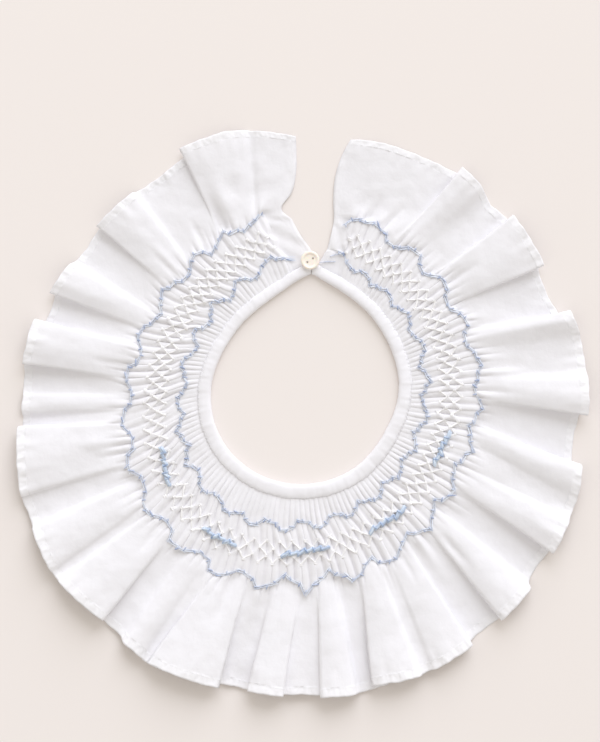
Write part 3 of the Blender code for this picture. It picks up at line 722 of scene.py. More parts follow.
def stitch_tree():
    """Lays a twisted strand of thread along each span: a low bow of lobed section, with its own tint."""
    inputs = (("Geometry", "Geometry"), ("Length share", "Float", 1.25), ("Bow", "Float", 0.4), ("Twist", "Float", 2.4),
              ("Taper", "Float", 0.6), ("Steps", "Int", 7), ("Seed", "Int", 1), ("Thread", "Material"))
    tree, given = new_tree("stitches", "GeometryNodeTree", (("Geometry", "Geometry"),), inputs)
    dip = calculate(tree, "MULTIPLY", given["Bow"], -0.5)
    start, end = (vector_of(tree, X=side, Z=dip) for side in (-0.5, 0.5))
    arch = {"Resolution": given["Steps"], "Start": start, "Middle": vector_of(tree, Z=given["Bow"]), "End": end}
    bow = add_node(tree, "GeometryNodeCurveQuadraticBezier", arch)
    share = add_node(tree, "GeometryNodeSplineParameter").outputs["Factor"]
    from_middle = calculate(tree, "ABSOLUTE", calculate(tree, "MULTIPLY_ADD", share, 2.0, -1.0))
    narrowed = calculate(tree, "MULTIPLY", calculate(tree, "POWER", from_middle, 3.0), given["Taper"])
    taper = calculate(tree, "SUBTRACT", 1.0, narrowed)
    thick = add_node(tree, "GeometryNodeSetCurveRadius", {"Curve": bow.outputs[0], "Radius": taper})
    turned = calculate(tree, "MULTIPLY", share, given["Twist"])
    twisted = add_node(tree, "GeometryNodeSetCurveTilt", {"Curve": thick.outputs[0], "Tilt": turned})
    lobes = add_node(tree, "GeometryNodeCurveStar", {"Points": 3, "Inner Radius": 0.33, "Outer Radius": 0.52})
    drawn = {"Curve": twisted.outputs[0], "Profile Curve": lobes.outputs[0], "Fill Caps": True}
    strand = add_node(tree, "GeometryNodeCurveToMesh", drawn)
    span = field(tree, "span", "FLOAT_VECTOR")
    laid = add_node(tree, "FunctionNodeAlignRotationToVector", {"Vector": span}, axis="X")
    raised = {"Rotation": laid.outputs[0], "Vector": field(tree, "up", "FLOAT_VECTOR")}
    upright = add_node(tree, "FunctionNodeAlignRotationToVector", raised, axis="Z", pivot_axis="X")
    reach = add_node(tree, "ShaderNodeVectorMath", {0: span}, operation="LENGTH").outputs["Value"]
    reach = calculate(tree, "MULTIPLY", reach, given["Length share"])
    uneven = add_node(tree, "FunctionNodeRandomValue", {"Min": 0.85, "Max": 1.15, "Seed": given["Seed"]})
    width = calculate(tree, "MULTIPLY", field(tree, "thick"), uneven.outputs["Value"])
    laid_out = {"Points": given["Geometry"], "Instance": strand.outputs[0], "Rotation": upright.outputs[0]}
    laid_out["Scale"] = vector_of(tree, X=reach, Y=width, Z=width)
    placed = add_node(tree, "GeometryNodeInstanceOnPoints", laid_out)
    tint = add_node(tree, "FunctionNodeRandomValue", {"Seed": calculate(tree, "ADD", given["Seed"], 7.0)})
    kept = {"Geometry": placed.outputs[0], "Name": "tint", "Value": tint.outputs["Value"]}
    tinted = add_node(tree, "GeometryNodeStoreNamedAttribute", kept, domain="INSTANCE")
    return finish_tree(tree, tinted.outputs[0], given["Thread"])


def shared_tree(name, builder):
    """A node tree that is built once and shared."""
    return bpy.data.node_groups.get(name) or builder()


def grow(obj, tree, values):
    """Puts a Geometry Nodes modifier on an object, with its inputs by name."""
    modifier = obj.modifiers.new(tree.name, "NODES")
    modifier.node_group = tree
    sockets = {item.name: item.identifier for item in tree.interface.items_tree if item.in_out == "INPUT"}
    for name, value in values.items():
        modifier[sockets[name]] = value


def bake(obj):
    """Turns an object and its modifiers into one plain mesh at the origin, with its faces outwards."""
    graph = bpy.context.evaluated_depsgraph_get()
    mesh = bpy.data.meshes.new_from_object(obj.evaluated_get(graph))
    mesh.name = obj.name
    obj.modifiers.clear()
    old = obj.data
    obj.data = mesh
    bpy.data.meshes.remove(old)
    shape = bmesh.new()
    shape.from_mesh(mesh)
    if shape.calc_volume(signed=True) < 0:
        bmesh.ops.reverse_faces(shape, faces=shape.faces)
        shape.to_mesh(mesh)
    shape.free()


def add_piece(name, points, faces):
    """A linked object from points in metres and faces."""
    mesh = bpy.data.meshes.new(name)
    mesh.from_pydata(np.asarray(points, float).reshape(-1, 3).tolist(), [], faces)
    obj = bpy.data.objects.new(name, mesh)
    bpy.context.scene.collection.objects.link(obj)
    return obj


def store(mesh, name, values):
    """Stores a number or a vector on each point of a mesh."""
    values = np.asarray(values, float)
    kind, key = ("FLOAT_VECTOR", "vector") if values.shape[-1:] == (3,) and values.ndim > 1 else ("FLOAT", "value")
    mesh.attributes.new(name, kind, "POINT").data.foreach_set(key, values.ravel())


def quads(rows, columns, closed=False):
    """Faces between neighbouring rows of points, and between the last row and the first where it is closed."""
    index = np.arange(rows * columns).reshape(rows, columns)
    if closed:
        index = np.concatenate([index, index[:1]])
    corners = (index[:-1, :-1], index[:-1, 1:], index[1:, 1:], index[1:, :-1])
    return np.stack(corners, axis=-1).reshape(-1, 4).tolist()


def store_uv(mesh, name, across):
    """A UV map from a pair of metres on each point, so that a weave keeps its real size."""
    layer = mesh.uv_layers.new(name=name)
    corner = np.empty(len(mesh.loops), int)
    mesh.loops.foreach_get("vertex_index", corner)
    layer.data.foreach_set("uv", np.asarray(across, float).reshape(-1, 2)[corner].ravel())


def sew(name, slot, material, spans, thick, tone=0.5, up=UPWARDS, length=1.25, bow=0.4, twist=2.4, taper=0.6,
        steps=7, seed=1):
    """One piece of stitches fixed to the collar, from spans of (start, end) in metres, dark (tone 0) to light (1)."""
    spans = np.asarray(spans, float)
    obj = add_piece(name, spans.mean(axis=1), [])
    store(obj.data, "span", spans[:, 1] - spans[:, 0])
    store(obj.data, "thick", np.broadcast_to(thick, len(spans)))
    store(obj.data, "tone", np.broadcast_to(tone, len(spans)))
    store(obj.data, "up", np.broadcast_to(up, (len(spans), 3)))
    values = {"Length share": length, "Bow": bow, "Twist": twist, "Taper": taper, "Steps": steps, "Seed": seed}
    grow(obj, shared_tree("stitches", stitch_tree), {**values, "Thread": material})
    bake(obj)
    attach(obj, "root")


def weave_group():
    """Plain weave: thread crossings as a height, and slubs and thin places as a shade."""
    inputs = (("Cloth", "Vector"), ("Thread spacing", "Float", 0.0004), ("Slub", "Float", 0.5))
    tree, given = new_tree("plain weave", "ShaderNodeTree", (("Height", "Float"), ("Shade", "Float")), inputs)
    parts = add_node(tree, "ShaderNodeSeparateXYZ", {0: given["Cloth"]})
    pitch = calculate(tree, "DIVIDE", math.pi, given["Thread spacing"])
    waves = [calculate(tree, "SINE", calculate(tree, "MULTIPLY", parts.outputs[axis], pitch)) for axis in (0, 1)]
    crossing = calculate(tree, "MULTIPLY", *waves)
    drawn = [vectors(tree, "MULTIPLY", given["Cloth"], scale) for scale in SLUB_SCALES]
    slubs = calculate(tree, "MULTIPLY", calculate(tree, "ADD", *(noise(tree, one, 1.0) for one in drawn)), 0.5)
    shade = calculate(tree, "MULTIPLY", calculate(tree, "SUBTRACT", slubs, 0.5), given["Slub"])
    shade = calculate(tree, "ADD", shade, 0.5)
    height = calculate(tree, "MULTIPLY_ADD", crossing, 0.5, slubs)
    add_node(tree, "NodeGroupOutput", {"Height": height, "Shade": shade})
    return tree


def strand_group():
    """Stranded cotton: fine fibres as a height, and uneven dye as a shade."""
    inputs = (("Place", "Vector"), ("Tint", "Float", 0.5))
    tree, given = new_tree("stranded cotton", "ShaderNodeTree", (("Height", "Float"), ("Shade", "Float")), inputs)
    fibres = noise(tree, given["Place"], 5200.0, 3.0)
    dyed = calculate(tree, "MULTIPLY", given["Tint"], 0.7)
    shade = calculate(tree, "MULTIPLY_ADD", noise(tree, given["Place"], 420.0, 1.0), 0.6, dyed)
    shade = calculate(tree, "SUBTRACT", shade, 0.15)
    add_node(tree, "NodeGroupOutput", {"Height": fibres, "Shade": shade})
    return tree


def new_material(name, **constants):
    """A material with its Principled shader, whose plain numbers are set on the shader's own sockets."""
    material = bpy.data.materials.new(name)
    material.use_nodes = True
    tree = material.node_tree
    shader = tree.nodes["Principled BSDF"]
    for socket, value in constants.items():
        shader.inputs[socket.replace("_", " ")].default_value = value
    return material, tree, shader


def blend_colours(tree, share, low, high):
    """A colour that goes from low to high with a share."""
    low, high = (colour if isinstance(colour, bpy.types.NodeSocket) else (*colour, 1.0) for colour in (low, high))
    return add_node(tree, "ShaderNodeMix", {"Factor": share, 6: low, 7: high}, data_type="RGBA").outputs[2]


def raise_surface(tree, shader, *layers):
    """Bumps on a shader, from layers of (height, inputs of the bump), the coarsest first."""
    normal = {}
    for height, inputs in layers:
        bump = add_node(tree, "ShaderNodeBump", {"Height": height, **inputs, **normal})
        normal = {"Normal": bump.outputs[0]}
    put(tree, shader.inputs["Normal"], normal["Normal"])


def cloth_material(settings, name, slub, turn=0.0, hemmed=False):
    """White cotton: plain weave at its real size, soft crumples, and, on the hemmed strip, whiter where the cloth lies
    double and painted shade deep between pleats.
    """
    material, tree, shader = new_material(
        name, Roughness=0.92, Specular_IOR_Level=0.2, Subsurface_Weight=0.2, Subsurface_Radius=(1.0, 1.0, 1.0),
        Subsurface_Scale=0.001, Sheen_Weight=0.1, Sheen_Roughness=0.6,
    )
    flat = add_node(tree, "ShaderNodeUVMap", uv_map="cloth").outputs[0]
    turned = add_node(tree, "ShaderNodeMapping", {"Vector": flat, "Rotation": (0.0, 0.0, turn)})
    weave = add_node(tree, "ShaderNodeGroup", node_tree=shared_tree("plain weave", weave_group))
    given = {"Cloth": turned.outputs[0], "Thread spacing": settings.thread_spacing, "Slub": slub}
    for socket, value in given.items():
        put(tree, weave.inputs[socket], value)
    colour = blend_colours(tree, weave.outputs["Shade"], settings.sheer_tone, settings.tone)
    where = own_place(tree)
    relief = calculate(tree, "MULTIPLY", noise(tree, where, 170.0, 3.0), settings.crumple)
    relief = calculate(tree, "MULTIPLY_ADD", noise(tree, where, 62.0, 1.5), settings.rumple, relief)
    if hemmed:
        doubled = mark(tree, "hem")
        colour = blend_colours(tree, doubled, colour, settings.double_tone)
        # Painted shade: the cloth is coloured greyer where it lies deep between two pleats.
        colour = blend_colours(tree, mark(tree, "valley"), colour, settings.painted_valley_shade)
        drawn = noise(tree, vectors(tree, "MULTIPLY", flat, PUCKER_SCALE), 1.0, 1.0)
        puckers = calculate(tree, "MULTIPLY", calculate(tree, "SUBTRACT", drawn, 0.5), doubled)
        relief = calculate(tree, "MULTIPLY_ADD", puckers, settings.hem_pucker, relief)
        relief = calculate(tree, "MULTIPLY_ADD", doubled, settings.hem_step, relief)
    put(tree, shader.inputs["Base Color"], colour)
    threads = (weave.outputs["Height"], {"Distance": 0.00003, "Strength": 0.5})
    raise_surface(tree, shader, (relief, {"Distance": 1.0, "Strength": 1.0}), threads)
    return material


def thread_material(name, dark, light):
    """Stranded cotton thread, each stitch a little lighter or darker than the next."""
    material, tree, shader = new_material(name, Roughness=0.75, Sheen_Weight=0.4, Sheen_Roughness=0.5)
    where = own_place(tree)
    tint = calculate(tree, "SUBTRACT", mark(tree, "tint"), 0.5)
    tint = calculate(tree, "MULTIPLY_ADD", tint, 0.5, mark(tree, "tone"))
    strands = add_node(tree, "ShaderNodeGroup", node_tree=shared_tree("stranded cotton", strand_group))
    put(tree, strands.inputs["Place"], where)
    put(tree, strands.inputs["Tint"], tint)
    put(tree, shader.inputs["Base Color"], blend_colours(tree, strands.outputs["Shade"], dark, light))
    raise_surface(tree, shader, (strands.outputs["Height"], {"Distance": 0.00006}))
    return material


def colour_property(name, description, default):
    return FloatVectorProperty(
        name=name, description=description, default=default, subtype="COLOR", size=3, min=0.0, max=1.0
    )


def length_property(name, description, default, **limits):
    return FloatProperty(
        name=name, description=description, default=default, subtype="DISTANCE", unit="LENGTH", precision=5, **limits
    )


def thin_property(name, description, default):
    """A length from nought to a centimetre."""
    return length_property(name, description, default, min=0.0, max=0.01)


class ClothSettings(bpy.types.PropertyGroup):
    """Sizes and tones of the batiste and of its binding."""

    wall: thin_property("Cloth thickness", "Thickness of the cloth, with its stiffening air", 0.00035)
    thread_spacing: thin_property("Thread spacing", "From one thread of the weave to the next", 0.0004)
    wrinkle_height: thin_property("Wrinkle height", "Height of the fine wrinkles below the smocking", 0.0006)
    crumple: thin_property("Crumple", "Depth of the soft crumples all over the cloth", 0.0003)
    rumple: thin_property("Rumple", "Depth of the broad rumples all over the cloth", 0.0016)
    hem_pucker: thin_property("Hem pucker", "Depth of the puckers that the hem's stitches draw up", 0.0012)
    hem_step: thin_property("Hem step", "Height of the step where the cloth is turned under", 0.00001)
    hem_ripple: thin_property("Hem ripple", "Height of the ripples along the free edge", 0.00022)
    pleat_depth: FloatProperty(
        name="Pleat depth", description="Share of the full depth that lies between ridges", default=1.0, min=0.2,
        max=1.0,
    )
    ridge_sharpness: FloatProperty(
        name="Ridge sharpness", description="Under 1 for flat wide ridges, over 1 for narrow ones", default=0.42,
        min=0.3, max=3.0,
    )
    seed: IntProperty(name="Seed", description="Picks another set of wrinkles", default=11, min=0)
    tone: colour_property("Cloth tone", "Colour of the batiste where its threads lie close", (0.88, 0.87, 0.893))
    sheer_tone: colour_property("Sheer tone", "Colour of the batiste where it is thin", (0.845, 0.83, 0.86))
    # Painted shade: the colour given to the batiste deep between two pleats.
    painted_valley_shade: colour_property("Valley tone", "Colour of the batiste deep between two pleats", (0.815, 0.795, 0.825))
    double_tone: colour_property("Double tone", "Colour of the batiste where it lies double", (0.90, 0.89, 0.915))


class ThreadSettings(bpy.types.PropertyGroup):
    """Sizes and colours of the sewing and smocking threads."""

    row_thread: thin_property("Row thread", "Thickness of the blue thread of the two zigzag rows", 0.0010)
    bar_thread: thin_property("Bar thread", "Thickness of the blue thread of the five bars", 0.0010)
    trellis_thread: thin_property("Trellis thread", "Thickness of the white thread of the trellis", 0.00115)
    hem_thread: thin_property("Hem thread", "Thickness of the sewing thread of the hems", 0.00022)
    hem_stitch: thin_property("Hem stitch", "Length of cloth to each stitch of the hem", 0.0030)
    seed: IntProperty(name="Seed", description="Picks another set of uneven stitches", default=5, min=0)
    # The dark ends of both blues also serve as painted shade, on the dark stitches across the nodes of the rows and
    # bars.
    dark_blue: colour_property("Dark blue", "Darkest colour of the row thread", (0.34, 0.41, 0.60))
    light_blue: colour_property("Light blue", "Lightest colour of the row thread", (0.90, 0.935, 0.995))
    bar_dark: colour_property("Bar dark", "Darkest colour of the bars", (0.27, 0.37, 0.58))
    bar_light: colour_property("Bar light", "Lightest colour of the bars", (0.75, 0.84, 0.94))
    off_white: colour_property("Off-white", "Colour of the trellis thread", (0.97, 0.955, 0.955))
    white: colour_property("White", "Colour of the sewing thread", (0.93, 0.93, 0.95))


class ButtonSettings(bpy.types.PropertyGroup):
    """Colours of the button and of its thread."""

    cream: colour_property("Cream", "Colour of the button's face", (0.965, 0.90, 0.815))
    deep_cream: colour_property("Deep cream", "Colour of the clouds in the button", (0.94, 0.855, 0.745))
    thread: colour_property("Thread", "Colour of the thread that sews it on", (0.60, 0.50, 0.40))


class StageSettings(bpy.types.PropertyGroup):
    """Floor, lights and camera."""

    floor: colour_property("Floor", "Colour of the table", (0.858, 0.801, 0.766))
    key_light: colour_property("Key light", "Colour of the large soft light", (0.873, 0.909, 1.0))
    fill_light: colour_property("Fill light", "Colour of the light from all round", (1.0, 0.965, 0.91))
    key_power: FloatProperty(name="Key power", description="Strength of the soft light", default=2.40, min=0.0)
    key_softness: FloatProperty(
        name="Key softness", description="How wide the soft light looks from the table", default=0.9, subtype="ANGLE",
        unit="ROTATION",
    )
    fill_strength: FloatProperty(
        name="Fill strength", description="Strength of the light from all round", default=0.727
    )
    camera_height: length_property("Camera height", "Height above the table", 1.55)
    frame_width: length_property("Frame width", "Width of table in the picture", 0.318)


class COLLAR_OT_cloth(bpy.types.Operator):
    """Makes the pleated and frilled strip of batiste"""

    bl_idname = "collar.cloth"
    bl_label = "Batiste strip"

    def execute(self, context):
        settings = context.scene.collar_cloth
        ends = np.linspace(0, PLACKET_COLUMNS, PLACKET_STEPS + 1)
        pleats = PLACKET_COLUMNS + np.linspace(0, 2 * PLEATS, PLEAT_STEPS * PLEATS + 1)
        column = np.concatenate([ends[:-1], pleats, COLUMNS - ends[-2::-1]])
        rows = [strip_row(column, across, settings) for across in (*YOKE_ROWS, *FRILL_ROWS)]
        points, pleat, ridge, hollow, caught, pull, along, length = (np.stack(part) for part in zip(*rows))
        cloth = add_piece("batiste_strip", points, quads(*pleat.shape))
        named = {"pleat": pleat, "ridge": ridge, "hollow": hollow, "caught": caught, "pull": pull}
        for name, values in named.items():
            store(cloth.data, name, values.ravel())
        store(cloth.data, "along", along.reshape(-1, 3))
        width = np.concatenate([[0.0], np.cumsum(np.linalg.norm(np.diff(points, axis=0), axis=2).mean(axis=1))])
        store_uv(cloth.data, "cloth", np.stack([length, np.broadcast_to(width[:, None], length.shape)], axis=-1))
        store(cloth.data, "hem", self.hem_mask(points).ravel())
        cloth.data.shade_smooth()
        material = cloth_material(settings, "batiste", slub=1.2, hemmed=True)
        shaping = {"Ridge sharpness": settings.ridge_sharpness, "Cloth": material}
        grow(cloth, shared_tree("pleats", pleat_tree), shaping)
        wall = cloth.modifiers.new("Wall", "SOLIDIFY")
        wall.thickness = settings.wall
        wall.offset = 0.0
        bake(cloth)
        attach(cloth, "root")
        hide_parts("smocked_strip")
        return {"FINISHED"}

    @staticmethod
    def hem_mask(points):
        """1 where the cloth is turned under along the hem, less at the two ends, and 0 elsewhere."""
        rows = np.array((*YOKE_ROWS, *FRILL_ROWS))
        mask = np.repeat((rows >= HEM_LINE).astype(float)[:, None], points.shape[1], axis=1)
        for end, inwards in ((0, 1), (-1, -1)):
            from_end = np.linalg.norm(points[:, ::inwards] - points[:, [end]], axis=2)[:, :END_COLUMNS]
            turned = from_end < END_HEM * MM
            side = mask[:, ::inwards][:, :END_COLUMNS]
            side[turned] = np.maximum(side[turned], END_HEM_SHARE)
        return mask


class COLLAR_OT_binding(bpy.types.Operator):
    """Makes the bias strip that is folded over the neck edge"""

    bl_idname = "collar.binding"
    bl_label = "Neck binding"

    # The strip's section from its inner underside, over the top, to the cloth: share of its width and height.
    section = (
        (0.03, 0.20), (0.00, 0.90), (0.00, 1.80), (0.03, 2.55), (0.10, 3.15), (0.22, 3.50), (0.40, 3.62), (0.60, 3.56),
        (0.78, 3.36), (0.92, 3.00), (0.99, 2.60), (1.00, 2.36), (0.97, 2.24), (0.70, 2.40), (0.36, 2.50), (0.27, 2.40),
        (0.26, 0.90), (0.22, 0.15),
    )

    def execute(self, context):
        settings = context.scene.collar_cloth
        angle = np.linspace(*BINDING_ENDS, BINDING_STATIONS)
        neck, width = read(SECTIONS, angle, 1), binding_width(angle)
        first, last = BINDING_SINK
        near_ends = smooth((angle - first) / BINDING_SINK_SPAN) * smooth((last - angle) / BINDING_SINK_SPAN)
        chance = np.random.default_rng(settings.seed + 3)
        sway = sum(
            chance.uniform(0.3, 1.0) * np.sin(np.radians(angle) * turns + chance.uniform(0, 6))
            for turns in BINDING_TURNS
        )
        rings = []
        for share, height in self.section:
            top = max(0.0, height - BINDING_SIDE) / BINDING_TOP
            lowered = height - BINDING_SINK_DEPTH * top * (1 - near_ends)
            lowered = lowered + BINDING_SWAY[2] * sway * top
            reach = neck + width * share + BINDING_SWAY[share > 0.5] * sway
            rings.append(place(angle, reach, lowered))
        points = np.stack(rings)
        count, around = len(angle), len(self.section)
        faces = quads(around, count, closed=True)
        faces += [list(range(0, around * count, count)), list(range(around * count - 1, 0, -count))]
        binding = add_piece("neck_binding_cloth", points, faces)
        length = np.cumsum(np.linalg.norm(np.diff(points[6], axis=0, prepend=points[6][:1]), axis=1))
        girth = np.cumsum(np.linalg.norm(np.diff(points[:, 0], axis=0, prepend=points[:1, 0]), axis=1))
        store_uv(binding.data, "cloth", np.stack(np.broadcast_arrays(length[None, :], girth[:, None]), axis=-1))
        binding.data.shade_smooth()
        material = cloth_material(settings, "bias binding", slub=0.5, turn=math.radians(45))
        binding.data.materials.append(material)
        bake(binding)
        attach(binding, "root")
        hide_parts("neck_binding")
        return {"FINISHED"}


def across_of(near, far):
    """The level direction across a span, of length one."""
    along = far - near
    level = np.array([-along[1], along[0], 0.0])
    return level / max(np.linalg.norm(level), 1e-9)


def run_of(points):
    """Spans between neighbouring points."""
    return list(zip(points[:-1], points[1:]))


def in_metres(points):
    """Points in metres from a table in mm."""
    return [np.array(point) * MM for point in points]


class COLLAR_OT_rows(bpy.types.Operator):
    """Sews the two zigzag rows of pale blue cable stitch"""

    bl_idname = "collar.rows"
    bl_label = "Blue smocking rows"

    def execute(self, context):
        cloth, threads = context.scene.collar_cloth, context.scene.collar_thread
        material = thread_material("pale blue thread", threads.dark_blue, threads.light_blue)
        wide, over = threads.row_thread, (0.0, 0.0, CROSS_LIFT * MM)
        for name, across, before, after in BLUE_ROWS:
            chance = np.random.default_rng(threads.seed)
            tops = [ridge_top(number, across, cloth) for number in range(PLEATS)]
            path = np.array([*in_metres(before), *tops, *in_metres(after)]) + (0.0, 0.0, 0.3 * wide)
            path = path + chance.normal(0.0, 0.12 * MM, path.shape) * (1, 1, 0)
            stitches = []
            for number, (near, far) in enumerate(run_of(path)):
                level = across_of(near, far) * MM
                side = level * (1 if number % 2 else -1)
                slant = chance.uniform(*ROW_SLANT)
                for beside in (-ROW_GAP, ROW_GAP):
                    shift = level * (beside + chance.normal(0.0, 0.1))
                    span = (near - side * slant + shift, far + side * slant + shift)
                    stitches.append((span, wide * chance.uniform(*ROW_THREAD), chance.uniform(*ROW_TONE)))
                # A stitch across each node, in a dark tone: painted shade at the node.
                lean = (far - near) * chance.normal(0.0, 0.12)
                reach = level * chance.uniform(*CROSS_REACH)
                span = (near - reach - lean + over, near + reach + lean + over)
                stitches.append((span, wide * chance.uniform(*CROSS_THREAD), chance.uniform(*CROSS_PAINTED_SHADE)))
            sew(name, "blue_thread", material, *zip(*stitches), length=0.95, bow=0.5, seed=threads.seed)
        return {"FINISHED"}


class COLLAR_OT_trellis(bpy.types.Operator):
    """Sews the off-white trellis that joins the pleats in turn"""

    bl_idname = "collar.trellis"
    bl_label = "White trellis"

    def execute(self, context):
        cloth, threads = context.scene.collar_cloth, context.scene.collar_thread
        material = thread_material("off-white thread", [0.94 * part for part in threads.off_white], threads.off_white)
        chance = np.random.default_rng(threads.seed + 4)
        wide, lift = threads.trellis_thread, np.array([0.0, 0.0, -0.25 * threads.trellis_thread])
        stitches, knots = [], []
        for across, first in TRELLIS_ROWS:
            row = {}
            for number in range(first, PLEATS - 1, 2):
                near, far = (ridge_top(number + step, across, cloth) + lift for step in (0, 1))
                row[number] = mix(near, far, 0.5) + chance.normal(0.0, 0.25 * MM, 3) * (1, 1, 0)
                side = across_of(near, far) * MM
                for beside in (-TRELLIS_GAP, TRELLIS_GAP):
                    shift = side * (beside + chance.normal(0.0, 0.12))
                    span = [mix(near, far, share) + shift for share in (-LEVEL_OVERLAP, 1 + LEVEL_OVERLAP)]
                    stitches.append((span, wide * chance.uniform(*LEVEL_THREAD), UPWARDS))
            knots.append(row)
        for row, other in zip(knots[:-1], knots[1:]):
            for number, near in row.items():
                for step in (-1, 1):
                    if number + step in other:
                        span = (near, other[number + step])
                        thick = wide * chance.uniform(*SLANT_THREAD)
                        stitches.append((span, thick, across_of(*span) * chance.normal(0.0, SLANT_LEAN) + UPWARDS))
        spans, thick, up = zip(*stitches)
        sew("white_trellis", "white_thread", material, spans, thick, up=up, length=1.05, bow=0.55, taper=0.3,
            seed=threads.seed + 1)
        return {"FINISHED"}


class COLLAR_OT_bars(bpy.types.Operator):
    """Sews the five short blue bars over the trellis"""

    bl_idname = "collar.bars"
    bl_label = "Blue bars"

    def execute(self, context):
        threads = context.scene.collar_thread
        material = thread_material("sky blue thread", threads.bar_dark, threads.bar_light)
        chance = np.random.default_rng(threads.seed + 6)
        wide, over = threads.bar_thread, (0.0, 0.0, TIE_LIFT * MM)
        stitches = []
        for bar in BARS:
            angles = np.linspace(bar[0][0], bar[-1][0], BAR_NODES)
            wave = BAR_WAVE * (-1.0) ** np.arange(BAR_NODES) + chance.normal(0.0, 0.2, BAR_NODES)
            path = place(angles, np.interp(angles, *zip(*bar)) + wave, BAR_HEIGHT)
            for number, (near, far) in enumerate(run_of(path)):
                side = across_of(near, far) * MM
                for beside, above in BAR_STRANDS:
                    shift = side * (beside + chance.normal(0.0, 0.12)) + (0.0, 0.0, above * MM)
                    span = (near - side * BAR_SLANT + shift, far + side * BAR_SLANT + shift)
                    stitches.append((span, wide * chance.uniform(*BAR_THREAD), chance.uniform(*BAR_TONE)))
                # A tie over each inner node, in a dark tone: painted shade at the node.
                if number:
                    lean, back = ((far - near) * way + over for way in (TIE_LEAN, -TIE_LEAN))
                    span = (near - side * TIE_REACH + lean, near + side * TIE_REACH + back)
                    stitches.append((span, TIE_THREAD * wide, chance.uniform(*TIE_PAINTED_SHADE)))
        sew("blue_bars", "blue_thread", material, *zip(*stitches), length=0.85, seed=threads.seed + 2)
        return {"FINISHED"}


class COLLAR_OT_hem_stitches(bpy.types.Operator):
    """Sews the running stitches of the hems and the slip stitches of the binding"""

    bl_idname = "collar.hem_stitches"
    bl_label = "Hem and binding stitches"

    def execute(self, context):
        cloth, threads = context.scene.collar_cloth, context.scene.collar_thread
        material = thread_material("white sewing thread", [0.92 * part for part in threads.white], threads.white)
        total = HEM[-1, 0] * MM
        count = int(total / threads.hem_stitch)
        middle = (np.arange(count) + 0.5) * total / count
        half = 0.3 * threads.hem_stitch
        starts, up = self.on_frill(middle - half, cloth)
        ends, _ = self.on_frill(middle + half, cloth)
        fine = {"thick": threads.hem_thread, "twist": 0.5, "steps": 4}
        sew("hem_stitches", "white_thread", material, np.stack([starts, ends], axis=1), up=up, length=1.0, bow=0.2,
            **fine)
        angle = np.linspace(BINDING_ENDS[0] + 4, BINDING_ENDS[1] - 4, BINDING_STITCHES)
        reach = read(SECTIONS, angle, 1) + binding_width(angle)
        inner, outer = place(angle, reach - 0.7, 3.2), place(angle + 0.4, reach + 0.15, 2.5)
        sew("binding_stitches", "white_thread", material, np.stack([inner, outer], axis=1), bow=0.3, **fine)
        return {"FINISHED"}

    @staticmethod
    def on_frill(length, cloth):
        """Points on the upper side of the frill along the hem's stitch line, and which way is up there."""
        root = np.interp(length / MM, ANCHORS[:, 1], ANCHORS[:, 0])
        column = np.interp(root, strip_angle(np.arange(COLUMNS + 1.0), 1.0), np.arange(COLUMNS + 1.0))
        steps = ((0, 0), (0.05, 0), (0, 0.01))
        points = [frill_points(column + step, HEM_LINE + shift, cloth)[0] for step, shift in steps]
        up = np.cross(points[1] - points[0], points[0] - points[2])
        up = -up / np.maximum(np.linalg.norm(up, axis=1, keepdims=True), 1e-12)
        up = np.where(up[:, 2:] < 0, -up, up)
        return points[0] + up * cloth.wall * 0.5, up


class COLLAR_OT_button(bpy.types.Operator):
    """Finishes the button and sews it on, with the short loop beside it"""

    bl_idname = "collar.button"
    bl_label = "Button"

    def execute(self, context):
        settings, threads = context.scene.collar_button, context.scene.collar_thread
        material, tree, shader = new_material(
            "cream button", Roughness=0.32, Coat_Weight=0.25, Coat_Roughness=0.2, Subsurface_Weight=0.1,
            Subsurface_Scale=0.001,
        )
        where = own_place(tree)
        colour = blend_colours(tree, noise(tree, where, 260.0, 4.0), settings.deep_cream, settings.cream)
        put(tree, shader.inputs["Base Color"], colour)
        raise_surface(tree, shader, (noise(tree, where, 1400.0), {"Distance": 0.00002}))
        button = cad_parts["button"]
        button.data.materials.clear()
        button.data.materials.append(material)
        low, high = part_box("button")
        middle = np.array([*((low + high) / 2)])
        turn = math.radians(HOLE_TURN)
        side = np.array([math.cos(turn), math.sin(turn), 0.0]) * HOLE_DISTANCE * MM
        brown = thread_material("button thread", [0.8 * part for part in settings.thread], settings.thread)
        spans = [(middle + side * way - (0, 0, 0.9 * MM), middle + side * way + (0, 0, 0.35 * MM)) for way in (-1, 1)]
        sew("button_thread", "white_thread", brown, spans, 0.0008, up=(0.0, 1.0, 0.0), length=1.0, bow=0.0,
            seed=threads.seed)
        pale = thread_material("loop thread", (0.50, 0.55, 0.68), (0.72, 0.76, 0.86))
        spans = [pair for path in (LOOP, TAIL) for pair in run_of(in_metres(path))]
        sew("loop_thread", "blue_thread", pale, spans, 0.0005, length=1.2, bow=0.1, seed=threads.seed)
        return {"FINISHED"}


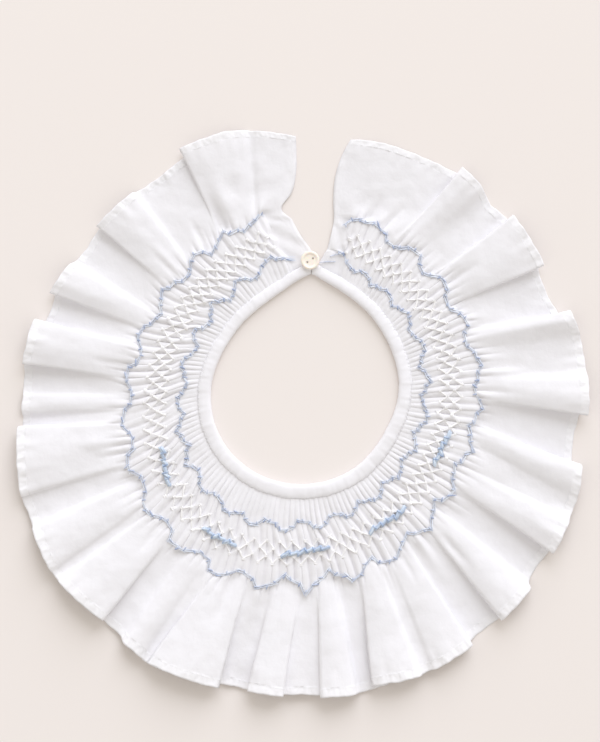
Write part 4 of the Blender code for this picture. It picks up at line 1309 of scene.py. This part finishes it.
class COLLAR_OT_stage(bpy.types.Operator):
    """Sets the pale table, with painted light fall-off towards its front, the soft light and the camera straight above
    """

    bl_idname = "collar.stage"
    bl_label = "Table, light and camera"

    def execute(self, context):
        settings = context.scene.collar_stage
        scene = context.scene
        corners = [(x * TABLE_REACH, y * TABLE_REACH, 0.0) for x, y in ((-1, -1), (1, -1), (1, 1), (-1, 1))]
        floor = add_piece("table_top", corners, [(0, 1, 2, 3)])
        material, tree, shader = new_material("painted table", Roughness=0.85)
        where = own_place(tree)
        parts = add_node(tree, "ShaderNodeSeparateXYZ", {0: where})
        # Painted light: the table's colour darkens towards the front, as though the key light fell off, with cloudy
        # noise in its tone.
        painted_light_falloff = calculate(tree, "MULTIPLY_ADD", parts.outputs[1], 2.4, 0.3)
        tone = calculate(tree, "MULTIPLY_ADD", noise(tree, where, 9.0, 3.0), 0.3, painted_light_falloff)
        low = [0.97 * part for part in settings.floor]
        put(tree, shader.inputs["Base Color"], blend_colours(tree, tone, low, settings.floor))
        floor.data.materials.append(material)
        world = bpy.data.worlds.new("Soft room")
        world.use_nodes = True
        backdrop = world.node_tree.nodes["Background"]
        backdrop.inputs["Color"].default_value = (*settings.fill_light, 1.0)
        backdrop.inputs["Strength"].default_value = settings.fill_strength
        scene.world = world
        key = bpy.data.lights.new("Key", "SUN")
        key.angle = settings.key_softness
        key.energy = settings.key_power
        key.color = settings.key_light
        light = bpy.data.objects.new("Key", key)
        light.location = KEY_PLACE
        light.rotation_euler = (Vector((*VIEW_CENTRE, 0.0)) - light.location).to_track_quat("-Z", "Y").to_euler()
        scene.collection.objects.link(light)
        camera = bpy.data.cameras.new("Camera")
        camera.sensor_fit = "HORIZONTAL"
        camera.lens = camera.sensor_width * settings.camera_height / settings.frame_width
        camera.clip_start, camera.clip_end = 0.05, 20.0
        above = bpy.data.objects.new("Camera", camera)
        above.location = (*VIEW_CENTRE, settings.camera_height)
        scene.collection.objects.link(above)
        scene.camera = above
        scene.view_settings.view_transform = "Standard"
        return {"FINISHED"}


class COLLAR_PT_panel(bpy.types.Panel):
    """Lists the collar's pieces and their settings"""

    bl_idname = "COLLAR_PT_panel"
    bl_label = "Smocked collar"
    bl_space_type = "VIEW_3D"
    bl_region_type = "UI"
    bl_category = "Collar"

    def draw(self, context):
        for operator in OPERATORS:
            self.layout.operator(operator.bl_idname)
        for name, group in SETTINGS.items():
            box = self.layout.box()
            for setting in group.__annotations__:
                box.prop(getattr(context.scene, name), setting)


OPERATORS = (
    COLLAR_OT_cloth,
    COLLAR_OT_binding,
    COLLAR_OT_rows,
    COLLAR_OT_trellis,
    COLLAR_OT_bars,
    COLLAR_OT_hem_stitches,
    COLLAR_OT_button,
    COLLAR_OT_stage,
)
SETTINGS = {
    "collar_cloth": ClothSettings,
    "collar_thread": ThreadSettings,
    "collar_button": ButtonSettings,
    "collar_stage": StageSettings,
}


def register():
    for kind in (*SETTINGS.values(), *OPERATORS, COLLAR_PT_panel):
        bpy.utils.register_class(kind)
    for name, group in SETTINGS.items():
        setattr(bpy.types.Scene, name, PointerProperty(type=group))


def unregister():
    for name in SETTINGS:
        delattr(bpy.types.Scene, name)
    for kind in reversed((*SETTINGS.values(), *OPERATORS, COLLAR_PT_panel)):
        bpy.utils.unregister_class(kind)


def main():
    register()
    for operator in OPERATORS:
        group, name = operator.bl_idname.split(".")
        getattr(getattr(bpy.ops, group), name)()
    bpy.context.view_layer.update()


if __name__ == "__main__":
    main()
